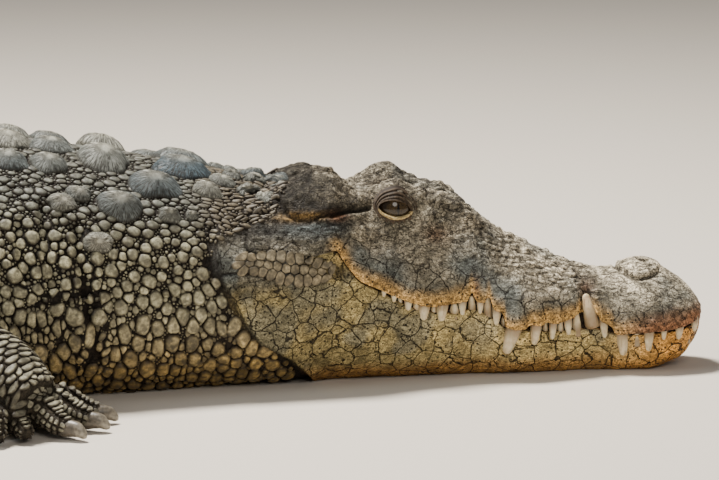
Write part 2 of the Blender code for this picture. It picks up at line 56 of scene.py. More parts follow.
# distance, half width above and below the side line, height of top, side line and underside
SECTIONS = np.array([
    (0.000, 0.007, 0.005, 0.067, 0.060, 0.050), (0.006, 0.028, 0.018, 0.077, 0.057, 0.034),
    (0.020, 0.043, 0.035, 0.092, 0.053, 0.014), (0.040, 0.051, 0.045, 0.102, 0.049, 0.003),
    (0.065, 0.055, 0.049, 0.108, 0.047, -0.004), (0.092, 0.052, 0.048, 0.107, 0.046, -0.004),
    (0.112, 0.047, 0.045, 0.109, 0.056, -0.004), (0.130, 0.046, 0.045, 0.114, 0.062, -0.004),
    (0.160, 0.056, 0.050, 0.125, 0.063, -0.004), (0.197, 0.067, 0.057, 0.142, 0.060, -0.004),
    (0.222, 0.070, 0.061, 0.155, 0.060, -0.004), (0.248, 0.069, 0.063, 0.173, 0.081, -0.004),
    (0.270, 0.069, 0.065, 0.187, 0.088, -0.004), (0.300, 0.074, 0.070, 0.194, 0.085, -0.004),
    (0.342, 0.086, 0.081, 0.193, 0.095, -0.004), (0.380, 0.096, 0.092, 0.202, 0.118, -0.004),
    (0.417, 0.104, 0.102, 0.207, 0.150, -0.004), (0.460, 0.112, 0.116, 0.211, 0.138, -0.005),
    (0.505, 0.120, 0.126, 0.220, 0.125, -0.006), (0.560, 0.131, 0.133, 0.233, 0.118, -0.008),
    (0.640, 0.150, 0.150, 0.247, 0.116, -0.012), (0.720, 0.166, 0.166, 0.262, 0.118, -0.014),
    (0.800, 0.182, 0.182, 0.274, 0.122, -0.016), (0.950, 0.205, 0.205, 0.285, 0.122, -0.020),
    (1.150, 0.227, 0.227, 0.292, 0.116, -0.024), (1.350, 0.228, 0.228, 0.290, 0.112, -0.024),
    (1.550, 0.190, 0.190, 0.272, 0.112, -0.018), (1.700, 0.152, 0.152, 0.250, 0.110, -0.013),
    (1.850, 0.126, 0.126, 0.228, 0.104, -0.010), (2.100, 0.097, 0.097, 0.195, 0.092, -0.008),
    (2.400, 0.068, 0.068, 0.160, 0.078, -0.006), (2.700, 0.045, 0.045, 0.128, 0.063, -0.004),
    (3.000, 0.027, 0.027, 0.094, 0.046, -0.003), (3.200, 0.011, 0.011, 0.054, 0.028, -0.001),
    (3.250, 0.004, 0.004, 0.030, 0.018, 0.004),
])
# depth that the scales take up outside the skin
COAT_DEPTH = ((0.0, 0.0004), (0.46, 0.0004), (0.54, 0.003), (0.80, 0.0045), (1.7, 0.0045),
              (2.4, 0.0035), (3.25, 0.0008))
# edge of the upper lip and of the lower jaw: distance back, height
LIP_EDGE = ((0.0, 0.059), (0.014, 0.055), (0.033, 0.050), (0.058, 0.0475), (0.085, 0.046),
            (0.103, 0.045), (0.108, 0.053), (0.119, 0.059), (0.125, 0.068), (0.142, 0.070),
            (0.151, 0.064), (0.171, 0.060), (0.183, 0.0625), (0.189, 0.0595), (0.200, 0.062),
            (0.207, 0.056), (0.2265, 0.060), (0.231, 0.075), (0.241, 0.080), (0.246, 0.0935),
            (0.251, 0.0865), (0.259, 0.088), (0.2645, 0.098), (0.270, 0.088), (0.289, 0.086),
            (0.307, 0.0845), (0.326, 0.0885), (0.343, 0.0955), (0.366, 0.107), (0.389, 0.119),
            (0.405, 0.139), (0.416, 0.153), (0.44, 0.149), (0.46, 0.1385), (0.505, 0.125))
JAW_EDGE = ((0.0, 0.055), (0.012, 0.050), (0.027, 0.0465), (0.050, 0.0445), (0.079, 0.0430),
            (0.100, 0.0435), (0.128, 0.050), (0.146, 0.050), (0.164, 0.049), (0.200, 0.052),
            (0.222, 0.054), (0.246, 0.070), (0.263, 0.078), (0.283, 0.0745), (0.306, 0.077),
            (0.326, 0.082), (0.344, 0.091), (0.366, 0.104), (0.389, 0.117), (0.405, 0.137),
            (0.416, 0.151), (0.44, 0.1475), (0.46, 0.137), (0.505, 0.1245))
# raised forms of the top of the head: distance, sideways, reach along, reach across, lift
TOP_FORMS = (
    (0.069, 0.000, 0.034, 0.026, 0.012), (0.341, -0.047, 0.036, 0.019, 0.042),
    (0.344, 0.047, 0.036, 0.019, 0.050), (0.426, -0.064, 0.042, 0.022, 0.046),
    (0.438, 0.064, 0.038, 0.021, 0.029), (0.292, -0.032, 0.032, 0.013, 0.015),
    (0.292, 0.032, 0.032, 0.013, 0.019),
)
UPPER_POINTS, GUM_POINTS, LOWER_POINTS = 100, 10, 62
HALF_POINTS = UPPER_POINTS + GUM_POINTS + LOWER_POINTS
GUM_SET_BACK = 0.0065
LIP_END = 0.416


def smooth(x, low, high):
    k = np.clip((np.asarray(x, float) - low) / (high - low), 0.0, 1.0)
    return k * k * (3 - 2 * k)


def hump(x, width):
    return np.exp(-(np.asarray(x, float) / width) ** 2)


def between(t, span, start, end, slope_start, slope_end):
    """The cubic from start to end with these slopes, at shares t of the span."""
    return ((1 + 2 * t) * (1 - t) ** 2 * start + t * (1 - t) ** 2 * span * slope_start
            + t * t * (3 - 2 * t) * end + t * t * (t - 1) * span * slope_end)


def monotone(table, x):
    """A cubic through the table's points that never overshoots them."""
    knots, values = np.array([p[0] for p in table]), np.array([p[1] for p in table])
    step = np.diff(values) / np.diff(knots)
    slopes = np.zeros_like(values)
    turn = step[:-1] * step[1:] > 0
    total = np.where(turn, step[:-1] + step[1:], 1.0)
    slopes[1:-1] = np.where(turn, 2 * step[:-1] * step[1:] / total, 0.0)
    slopes[0], slopes[-1] = step[0], step[-1]
    i = np.clip(np.searchsorted(knots, x) - 1, 0, len(knots) - 2)
    span = knots[i + 1] - knots[i]
    t = np.clip((x - knots[i]) / span, 0.0, 1.0)
    return between(t, span, values[i], values[i + 1], slopes[i], slopes[i + 1])


def hashed(cells, seed):
    """An even random number in 0..1 for each whole-number cell."""
    h = cells[..., 0] * 73856093 ^ cells[..., 1] * 19349663 ^ cells[..., 2] * 83492791
    h = (h ^ (seed * 2654435761)) & 0xFFFFFFFF
    for shift in (15, 13, 16):
        h = ((h ^ (h >> shift)) * 2246822519) & 0xFFFFFFFF
    return (h ^ (h >> 14)) / 4294967296.0


def noise(points, size, seed, octaves=3):
    """Soft noise about zero, in lumps of this size in metres."""
    total, gain = 0.0, 1.0
    for octave in range(octaves):
        p = points / size * 2 ** octave + 17.3 * octave
        base = np.floor(p).astype(np.int64)
        f = p - base
        f = f * f * (3 - 2 * f)
        value = 0.0
        for corner in range(8):
            bits = np.array([corner & 1, corner >> 1 & 1, corner >> 2 & 1])
            weight = np.prod(np.where(bits, f, 1 - f), axis=-1)
            value = value + weight * hashed(base + bits, seed + octave)
        total = total + gain * (value - 0.5) * 2
        gain *= 0.5
    return total


def cells(points, size, seed):
    """Cracked polygons of this size: distance to the nearest edge, and a cell's own number."""
    p = points / size
    base = np.floor(p).astype(np.int64)
    best = np.full(p.shape[:-1] + (2,), 9.0)
    own = np.zeros(p.shape[:-1])
    for dx in (-1, 0, 1):
        for dy in (-1, 0, 1):
            for dz in (-1, 0, 1):
                cell = base + np.array((dx, dy, dz))
                seat = np.stack([hashed(cell, seed + k) for k in range(3)], -1)
                far = np.linalg.norm(cell + 0.12 + 0.76 * seat - p, axis=-1)
                nearer = far < best[..., 0]
                best[..., 1] = np.where(nearer, best[..., 0], np.minimum(best[..., 1], far))
                own = np.where(nearer, hashed(cell, seed + 5), own)
                best[..., 0] = np.where(nearer, far, best[..., 0])
    return (best[..., 1] - best[..., 0]) * size * 0.5, own


spine_s = np.arange(0.0, BODY_LENGTH + 0.06, SPINE_STEP)
spine_turn = sum(-math.radians(d) * smooth(spine_s, a, b) for a, b, d in SPINE_BENDS)
head_low, head_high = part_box("head")
spine_x = head_high[0] + SPINE_STEP - np.cumsum(np.cos(spine_turn)) * SPINE_STEP
spine_y = (head_low[1] + head_high[1]) / 2 - np.cumsum(np.sin(spine_turn)) * SPINE_STEP


def place(s, t, z):
    """World points at these distances back along the spine, to the left of it, and heights."""
    turn = np.interp(s, spine_s, spine_turn)
    x = np.interp(s, spine_s, spine_x) - np.sin(turn) * t
    y = np.interp(s, spine_s, spine_y) + np.cos(turn) * t
    return np.stack(np.broadcast_arrays(x, y, z), -1)


def distance_to_line(s, z, line):
    """Distance in the side view from each point to a crease drawn as (distance, height) points."""
    best = np.full(np.shape(s), 9.0)
    for (s0, z0), (s1, z1) in zip(line[:-1], line[1:]):
        ds, dz = s1 - s0, z1 - z0
        k = np.clip(((s - s0) * ds + (z - z0) * dz) / (ds * ds + dz * dz), 0, 1)
        best = np.minimum(best, np.hypot(s - s0 - k * ds, z - z0 - k * dz))
    return best


def body_sizes(s):
    """Half widths, top, side line and underside of the bare skin at each distance."""
    depth = monotone(COAT_DEPTH, s)
    above, below, top, side, under = (monotone(SECTIONS[:, (0, k)], s) for k in range(1, 6))
    return above - depth, below - depth, top - depth, side, np.maximum(under, -0.03) + depth


def half_rings(s):
    """The bare outline on one side from the top to the underside, as (sideways, height) rows."""
    s = s[:, None]
    above, below, top, side, under = body_sizes(s)
    behind = smooth(s, 0.45, 0.505)
    lip = monotone(LIP_EDGE, s) * (1 - behind) + side * behind
    jaw = monotone(JAW_EDGE, s) * (1 - behind) + side * behind - 0.0006
    mouth = 1 - smooth(s, LIP_END - 0.004, LIP_END + 0.030)
    shut = smooth(s, LIP_END - 0.008, LIP_END + 0.02)
    edge = (above + below) / 2
    a = np.linspace(0, np.pi / 2, UPPER_POINTS)[None, :]
    t_up, rise = above * np.sin(a), np.cos(a)
    t_up = t_up + (edge - above) * shut * smooth(a, 0.9, np.pi / 2)
    z_up = side + (top - side) * rise
    z_up = z_up + (lip - side) * np.exp(-(z_up - side) / 0.010)
    # the lip rolls under to the gum, and the gum runs down inside it to the jaw's edge
    above, below_edge = above + (edge - above) * shut, below + (edge - below) * shut
    inner = np.minimum(above, below_edge) - GUM_SET_BACK * mouth
    knots = np.array([0.0, 0.13, 0.30, 0.62, 0.86, 1.0])
    gum_t = [above, above - 0.0022 * mouth, inner, inner, below_edge - 0.0022 * mouth, below_edge]
    gum_z = [lip, lip - 0.0004, lip + 0.0016 * mouth, jaw + 0.004 * mouth, jaw + 0.0012 * mouth, jaw]
    k = np.linspace(0, 1, GUM_POINTS + 2)[1:-1]
    gum_t = np.array([np.interp(k, knots, [float(v[i, 0]) for v in gum_t]) for i in range(len(s))])
    gum_z = np.array([np.interp(k, knots, [float(v[i, 0]) for v in gum_z]) for i in range(len(s))])
    b = np.linspace(0, np.pi / 2, LOWER_POINTS)[None, :]
    t_low = below * np.cos(b) ** 0.8 + (edge - below) * shut * (1 - smooth(b, 0.0, 0.65))
    z_low = jaw + (under - jaw) * np.sin(b) ** 0.8
    return np.hstack([t_up, gum_t, t_low]), np.hstack([z_up, gum_z, z_low])


fine = np.concatenate([0.020 * np.linspace(0, 1, 17)[:-1] ** 2, np.arange(0.020, 0.56, 0.0015),
                       np.arange(0.56, 0.80, 0.004)])
coarse = np.append(np.arange(0.80, BODY_LENGTH, 0.010), BODY_LENGTH)
ring_s = np.concatenate([fine, coarse])
half_t, half_z = half_rings(ring_s)
part = np.concatenate([np.linspace(0, 1, UPPER_POINTS), np.linspace(1, 2, GUM_POINTS + 2)[1:-1],
                       np.linspace(2, 3, LOWER_POINTS)])


def shape_head(t, z, sign):
    """Brows, horns and pads of one side lifted out of the bare outline."""
    s = ring_s[:, None]
    _, _, top, side, _ = body_sizes(s)
    lift = 0.0
    for at, across, reach, breadth, height in TOP_FORMS:
        lift = lift + height * hump(s - at, reach) * hump(t * sign - across, breadth)
    return t, z + lift * smooth(z, side, top) * (part <= 1.0)[None, :]


def normals_of(points):
    """Outward unit normals of a grid of points that closes round its second axis."""
    along = np.gradient(points, axis=0)
    around = np.roll(points, -1, 1) - np.roll(points, 1, 1)
    n = np.cross(along, around)
    return n / np.maximum(np.linalg.norm(n, axis=-1, keepdims=True), 1e-12)


# swellings and hollows seen from the side: distance, height, reach along, reach up, depth outwards
SIDE_FORMS = (
    (0.092, 0.075, 0.026, 0.022, 0.0030), (0.219, 0.084, 0.024, 0.022, 0.0040),
    (0.1335, 0.082, 0.009, 0.015, -0.0075), (0.165, 0.082, 0.018, 0.014, 0.0015),
    (0.0956, 0.055, 0.009, 0.008, 0.0024), (0.0666, 0.055, 0.007, 0.006, 0.0015),
    (0.1926, 0.068, 0.007, 0.006, 0.0015), (0.2165, 0.067, 0.010, 0.009, 0.0034),
    (0.2965, 0.093, 0.008, 0.006, 0.0016), (0.3163, 0.094, 0.008, 0.006, 0.0012),
    (0.3059, 0.1809, 0.0075, 0.006, 0.0040), (0.2965, 0.1713, 0.0060, 0.005, 0.0030),
    (0.443, 0.203, 0.026, 0.016, 0.0050), (0.440, 0.172, 0.040, 0.014, 0.0035),
    (0.4958, 0.167, 0.012, 0.012, 0.0035), (0.450, 0.126, 0.030, 0.008, 0.0025),
    (0.470, 0.070, 0.045, 0.040, 0.0040), (0.300, 0.135, 0.050, 0.022, -0.0025),
    (0.345, 0.156, 0.040, 0.008, -0.0015), (0.262, 0.176, 0.013, 0.006, 0.0040),
)
# folds of the cheek, jowl and ear: depth, half width, and their line as (distance, height)
FOLDS = (
    (0.0028, 0.0018, ((0.509, 0.153), (0.483, 0.1535), (0.464, 0.151), (0.448, 0.1485),
                      (0.427, 0.141), (0.406, 0.130), (0.397, 0.125))),
    (0.0030, 0.0018, ((0.539, 0.134), (0.521, 0.134), (0.499, 0.132), (0.483, 0.1265),
                      (0.470, 0.121), (0.448, 0.118), (0.432, 0.119), (0.420, 0.123),
                      (0.399, 0.1235))),
    (0.0016, 0.0015, ((0.528, 0.111), (0.512, 0.1125), (0.499, 0.1135), (0.483, 0.112),
                      (0.474, 0.103))),
    (0.0022, 0.0018, ((0.5085, 0.174), (0.510, 0.161), (0.507, 0.153))),
    (0.0085, 0.0030, ((0.417, 0.1880), (0.406, 0.1905), (0.395, 0.1915), (0.3845, 0.1908),
                      (0.374, 0.1925))),
    (0.0038, 0.0022, ((0.473, 0.202), (0.469, 0.1935), (0.4625, 0.187), (0.452, 0.1842),
                      (0.440, 0.1840), (0.431, 0.1860), (0.420, 0.1890))),
)
# creases of the neck in front of the shoulder; no scale sits in the first
NECK_CREASES = (((0.690, 0.185), (0.688, 0.160), (0.682, 0.125), (0.676, 0.085), (0.672, 0.050)),
                ((0.724, 0.205), (0.723, 0.180), (0.722, 0.155), (0.718, 0.130)),
                ((0.752, 0.190), (0.750, 0.165), (0.745, 0.140)))
# pale raised folds, listed as the creases are
RIDGES = (
    (0.0024, 0.0022, ((0.322, 0.199), (0.3165, 0.190), (0.3130, 0.180), (0.3125, 0.170))),
    (0.0020, 0.0030, ((0.470, 0.207), (0.460, 0.1925), (0.450, 0.1895), (0.438, 0.1895),
                      (0.424, 0.194))),
    (0.0022, 0.0026, ((0.430, 0.1835), (0.414, 0.1835), (0.398, 0.1862), (0.380, 0.1862))),
)
# knobs in front of the eyes: distance, sideways, reach along and across, lift
KNOBS = (
    (0.314, 0.041, 0.0085, 0.0060, 0.0045), (0.298, 0.039, 0.0085, 0.0055, 0.0050),
    (0.281, 0.034, 0.0095, 0.0060, 0.0060), (0.267, 0.036, 0.0085, 0.0060, 0.0040),
    (0.268, 0.022, 0.0090, 0.0055, 0.0035), (0.251, 0.027, 0.0080, 0.0060, 0.0030),
    (0.289, 0.022, 0.0075, 0.0050, 0.0035), (0.304, 0.026, 0.0080, 0.0050, 0.0030),
)
PAD_BACK, PAD_LONG, PAD_WIDE = 0.071, 0.026, 0.0285  # the nostril pad
NOSTRIL = (0.0655, 0.0085, 0.0075, 0.0016)  # distance, sideways, half length, half width
TILE_ROWS, TILE_LENGTH, TILE_FROM, TILE_TO = 3, 0.0098, 0.406, 0.520
JOWL_LINE = ((0.541, 0.175), (0.541, 0.150), (0.539, 0.133), (0.528, 0.111), (0.512, 0.080),
             (0.496, 0.058), (0.477, 0.047), (0.464, 0.038), (0.456, 0.030), (0.440, 0.012),
             (0.425, -0.01))
EYE_BACK, EYE_OUT, EYE_HEIGHT, EYE_RADIUS = 0.3480, 0.0435, 0.1880, 0.0225
LID_THICK = 0.0028
SLIT_LENGTH, SLIT_HEIGHT, SLIT_TILT = 0.0170, 0.0080, -0.155  # half sizes, radians


def slit_place(s, z):
    """Position in the opening of the lids: along it from the rear corner, and up across it."""
    ds, dz = -(s - EYE_BACK + 0.0005), z - EYE_HEIGHT - 0.001
    c, q = math.cos(SLIT_TILT), math.sin(SLIT_TILT)
    return ds * c + dz * q, -ds * q + dz * c


def push_from_eye(s, t, z):
    """Skin lifted over the eyeball, before the lids are opened."""
    ds, dt, dz = s - EYE_BACK, t - EYE_OUT, z - EYE_HEIGHT
    far = np.sqrt(ds * ds + dt * dt + dz * dz)
    wanted = EYE_RADIUS + LID_THICK
    soft = 0.0035
    new = np.where(t > EYE_OUT * 0.6, far + soft * np.log1p(np.exp((wanted - far) / soft)), far)
    k = new / np.maximum(far, 1e-6)
    near = (np.abs(ds) < 0.05) & (far > 0.006)
    k = np.where(near, k, 1.0)
    return EYE_OUT + dt * k, EYE_HEIGHT + dz * k


def open_lids(s, t, z):
    """Sinks the skin behind the eyeball inside the opening of the lids."""
    along, up = slit_place(s, z)
    oval = (along / (SLIT_LENGTH + 0.001)) ** 2 + (up / (SLIT_HEIGHT + 0.001)) ** 2
    inside = 1 - smooth(oval, 0.8, 1.25)
    return t - 0.014 * inside * (t > EYE_OUT) * smooth(np.abs(s - EYE_BACK), 0.05, 0.03)


head_rows = int(np.searchsorted(ring_s, 0.60))
sides, before_lids = [], {}
for sign in (-1, 1):
    t, z = shape_head(half_t, half_z, sign)
    s = np.broadcast_to(ring_s[:, None], t.shape)
    t, z = np.array(t), np.array(z)
    upper = (part <= 1.0)[None, :] & np.ones_like(t, bool)
    et, ez = push_from_eye(s, t, z)
    t, z = np.where(upper, et, t), np.where(upper, ez, z)
    before_lids[sign] = (s, t.copy(), z.copy())
    t = np.where(upper, open_lids(s, t, z), t)
    sides.append((t * sign, z))
right, left = sides
grid_t = np.hstack([right[0], left[0][:, -2:0:-1]])
grid_z = np.hstack([right[1], left[1][:, -2:0:-1]])
grid_part = np.broadcast_to(np.concatenate([part, part[-2:0:-1]])[None, :], grid_t.shape)
grid_s = np.broadcast_to(ring_s[:, None], grid_t.shape)
bare = place(grid_s, grid_t, grid_z)
normal = normals_of(bare)
flank = smooth(np.abs(normal[..., 1]), 0.25, 0.65)
outside = 1 - (smooth(grid_part, 1.0, 1.03) * (1 - smooth(grid_part, 1.93, 2.0)))
outside = np.maximum(outside, smooth(grid_s, LIP_END, LIP_END + 0.012))

relief = np.zeros_like(grid_t)
# painted shade in folds, the jowl, the ear slit, the nostril, the bed of the cheek tiles and the grooves on
# top of the head, darker in deeper folds
groove_shade = np.zeros_like(grid_t)
for at, up, reach, tall, depth in SIDE_FORMS:
    relief += depth * hump(grid_s - at, reach) * hump(grid_z - up, tall) * flank
for depth, width, line in FOLDS:
    near = hump(distance_to_line(grid_s, grid_z, line), width) * (np.abs(grid_t) > 0.05) * outside
    relief -= depth * near
    # painted shade in the fold, darker the deeper it is
    groove_shade = np.maximum(groove_shade, near * min(depth / 0.003, 1.0))
crease_far = np.min([distance_to_line(grid_s, grid_z, line) for line in NECK_CREASES], axis=0)
crease = 0.0030 * hump(crease_far - 0.012, 0.007) - 0.0045 * hump(crease_far, 0.005)
relief += np.where(np.abs(grid_s - 0.71) < 0.09, crease, 0)


def behind_line(s, z):
    """How far behind the fold of the jowl a place lies."""
    line_s, line_z = np.array(JOWL_LINE[::-1]).T
    return s - np.interp(z, line_z, line_s)


behind_jowl = behind_line(grid_s, grid_z)
jowl_far = distance_to_line(grid_s, grid_z, JOWL_LINE)
jowl_on = (1 - smooth(grid_z, 0.165, 0.19)) * (np.abs(grid_s - 0.49) < 0.12)
relief += jowl_on * np.where(behind_jowl < 0, 0.0055 * np.exp(-jowl_far / 0.020),
                             0.0055 * smooth(jowl_far, 0.0045, 0.0) - 0.003 * np.exp(-jowl_far / 0.015))
jowl_shade = hump(np.where(behind_jowl > -0.001, jowl_far - 0.002, 9.0), 0.002)
groove_shade = np.maximum(groove_shade, jowl_on * jowl_shade)

body_points = np.stack([grid_s, grid_t, grid_z], -1)
h = slice(0, head_rows)
q = body_points[h]
on_head = 1 - smooth(grid_s[h], 0.50, 0.545)
top_rough = smooth(normal[h][..., 2], 0.15, 0.75) * smooth(grid_s[h], 0.09, 0.14) * (grid_part[h] < 1)
stretched = q * np.array([0.42, 1.0, 1.0])
bump_edge, bump_own = cells(stretched, 0.0066, 23)
wild = np.abs(noise(stretched, 0.0085, 41, 2))
small = relief[h]
small += top_rough * on_head * (0.0023 * smooth(bump_edge, 0.0, 0.0020) * (0.35 + bump_own) - 0.0014)
small += top_rough * on_head * 0.0025 * (0.22 - wild)
small += (0.0007 * noise(q, 0.013, 3) + 0.0004 * noise(q, 0.005, 9, 2)) * on_head * outside[h]
side_t = np.abs(q[..., 1])
for depth, width, line in RIDGES:
    near = hump(distance_to_line(q[..., 0], q[..., 2], line), width)
    small += depth * near * (side_t > 0.03) * outside[h]
for at, across, reach, breadth, lift in KNOBS:
    knob = lift * hump(q[..., 0] - at, reach) ** 1.3 * hump(side_t - across, breadth)
    small += knob * (normal[h][..., 2] > 0)
pad = np.hypot((q[..., 0] - PAD_BACK) / PAD_LONG, side_t / PAD_WIDE)
on_pad = (normal[h][..., 2] > 0) * (q[..., 2] > 0.085)
pad_crease = hump(pad - 1.0, 0.075) * smooth(q[..., 0], 0.046, 0.056) * on_pad
small += (0.0022 * (1 - smooth(pad, 0.82, 1.0)) - 0.0036 * pad_crease) * on_pad
curl = q[..., 0] - NOSTRIL[0] + 12.0 * (side_t - NOSTRIL[1]) ** 2
slot = hump(curl / NOSTRIL[2], 1.0) ** 3 * hump((side_t - NOSTRIL[1]) / NOSTRIL[3], 1.0) * on_pad
small -= 0.0060 * slot
small += 0.0012 * hump(side_t - NOSTRIL[1] - 0.0045, 0.0025) * hump(curl, 0.009) * on_pad
# bed of the tiles between the two folds behind the corner of the mouth
fold_z = [np.interp(q[..., 0], *np.array(FOLDS[k][2][::-1]).T) for k in (0, 1)]
down = (fold_z[0] - q[..., 2]) / np.maximum(fold_z[0] - fold_z[1], 0.004)
in_tiles = ((down > 0) & (down < 1) & (side_t > 0.05) * outside[h].astype(bool)
            & (q[..., 0] > TILE_FROM) & (q[..., 0] < TILE_TO))
# painted shade in the bed of the cheek tiles, the crease round the nostril pad and the nostril
groove_shade[h] = np.maximum(groove_shade[h], np.maximum(0.7 * in_tiles, np.maximum(0.8 * pad_crease, slot)))
# painted shade in the grooves between the bumps on top of the head
groove_shade[h] = np.maximum(groove_shade[h], 0.75 * top_rough * on_head * (1 - smooth(bump_edge, 0.0002, 0.0011)))
relief += 0.0012 * noise(body_points, 0.09, 7, 2) * smooth(grid_s, 0.5, 0.6)
skin_grid = bare + normal * relief[..., None]
floor_gap = np.interp(ring_s, [0.45, 0.56], [0.0003, 0.002])[:, None]
skin_grid[..., 2] = np.maximum(skin_grid[..., 2], floor_gap)
COLUMNS_ALL = skin_grid.shape[1]


def ring_quads(rows, cols, first=0, order=(0, 1, 2, 3)):
    """Quads between neighbouring closed rings of points, with their corners in this order."""
    m = np.arange(cols)
    n = (m + 1) % cols
    a = first + cols * np.arange(rows - 1)[:, None]
    corners = np.stack([a + m, a + cols + m, a + cols + n, a + n], -1)
    return corners[..., order].reshape(-1, 4)


def add_object(name, data):
    made = bpy.data.objects.new(name, data)
    bpy.context.scene.collection.objects.link(made)
    return made


def ring_mesh(name, points, split):
    """A closed mesh of the rings, with half as many points round from the ring at split on."""
    rows, cols = points.shape[:2]
    half = cols // 2
    verts = np.concatenate([points[:split].reshape(-1, 3), points[split:, ::2].reshape(-1, 3),
                            points[[0, -1]].mean(1)])
    a, b = (split - 1) * cols, split * cols
    last, tip, end = len(verts) - 2 - half, len(verts) - 2, len(verts) - 1
    faces = ring_quads(split, cols).tolist()
    for m in range(half):
        faces.append([b + m, b + (m + 1) % half, a + (2 * m + 2) % cols, a + 2 * m + 1, a + 2 * m])
    faces += ring_quads(rows - split, half, b).tolist()
    faces += [[tip, m, (m + 1) % cols] for m in range(cols)]
    faces += [[end, last + (m + 1) % half, last + m] for m in range(half)]
    mesh = bpy.data.meshes.new(name)
    mesh.from_pydata(verts.tolist(), [], faces)
    mesh.update()
    return add_object(name, mesh)


body = ring_mesh("body_form", skin_grid, len(fine))

# ---- Legs and feet ---------------------------------------------------------------------------
# Legs laid out on the ground, each swept along its bones, with webbed toes. They are smoothed as
# one form and welded into the skin of the body, so the hide has no seam at hip or shoulder.

LEGS = {
    "foreleg_right": (-1, (0.925, 0.120, 0.130), (1.000, 0.290, 0.100), (0.797, 0.230, 0.078),
                      (0.740, 0.270, 0.045), (0.070, 0.060, 0.044, 0.038)),
    "foreleg_left": (1, (0.925, 0.120, 0.130), (1.015, 0.310, 0.092), (0.850, 0.330, 0.060),
                     (0.778, 0.348, 0.036), (0.070, 0.060, 0.046, 0.033)),
    "hindleg_right": (-1, (1.610, 0.090, 0.125), (1.455, 0.320, 0.100), (1.655, 0.385, 0.056),
                      (1.600, 0.470, 0.034), (0.090, 0.068, 0.050, 0.036)),
    "hindleg_left": (1, (1.610, 0.090, 0.125), (1.480, 0.315, 0.100), (1.690, 0.345, 0.056),
                     (1.645, 0.436, 0.034), (0.090, 0.068, 0.050, 0.036)),
}
# toes from the inner one out: degrees from the foot's line, reach, half thickness
FORE_TOES = ((-38, 0.066, 0.0130), (-21, 0.068, 0.0136), (-2, 0.064, 0.0134), (24, 0.044, 0.0110),
             (50, 0.038, 0.0100))
HIND_TOES = ((-20, 0.125, 0.0155), (-5, 0.145, 0.0160), (11, 0.146, 0.0150), (29, 0.122, 0.0120))
LIMB_COAT, TOE_COAT = 0.0035, 0.0014
LIMB_VOXEL = 0.0042
SWEEP_SIDES = 20
LIMB_CLEAR, HIDE_CLEAR = 0.0012, 0.0003  # lowest points over the floor


def curve_through(points, values, count):
    """Points and values at even steps of a smooth curve through the given ones."""
    points, values = np.array([tuple(p) for p in points]), np.array(values, float)
    far = np.concatenate([[0], np.cumsum(np.linalg.norm(np.diff(points, axis=0), axis=1))])
    at = np.linspace(0, far[-1], count)
    slope = np.gradient(points, far, axis=0)
    i = np.clip(np.searchsorted(far, at) - 1, 0, len(far) - 2)
    span = (far[i + 1] - far[i])[:, None]
    t = (at - far[i])[:, None] / span
    path = between(t, span, points[i], points[i + 1], slope[i], slope[i + 1])
    sizes = np.stack([np.interp(at, far, values[:, k]) for k in range(values.shape[1])], 1)
    return path, sizes


def sweep(path, sizes, sides=SWEEP_SIDES):
    """Rings of an upright oval tube along a path, with the frame of each ring."""
    along = np.gradient(path, axis=0)
    along /= np.linalg.norm(along, axis=1, keepdims=True)
    across = np.cross(along, (0, 0, 1.0))
    across /= np.linalg.norm(across, axis=1, keepdims=True)
    up = np.cross(across, along)
    turn = 2 * np.pi * np.arange(sides) / sides
    rings = (path[:, None] + across[:, None] * (sizes[:, :1] * np.cos(turn))[..., None]
             + up[:, None] * (sizes[:, 1:] * np.sin(turn))[..., None])
    return rings, along, across, up


def tube_faces(rows, cols, first=0):
    faces = ring_quads(rows, cols, first).tolist()
    faces.append([first + m for m in range(cols)])
    faces.append([first + (rows - 1) * cols + m for m in range(cols)][::-1])
    return faces


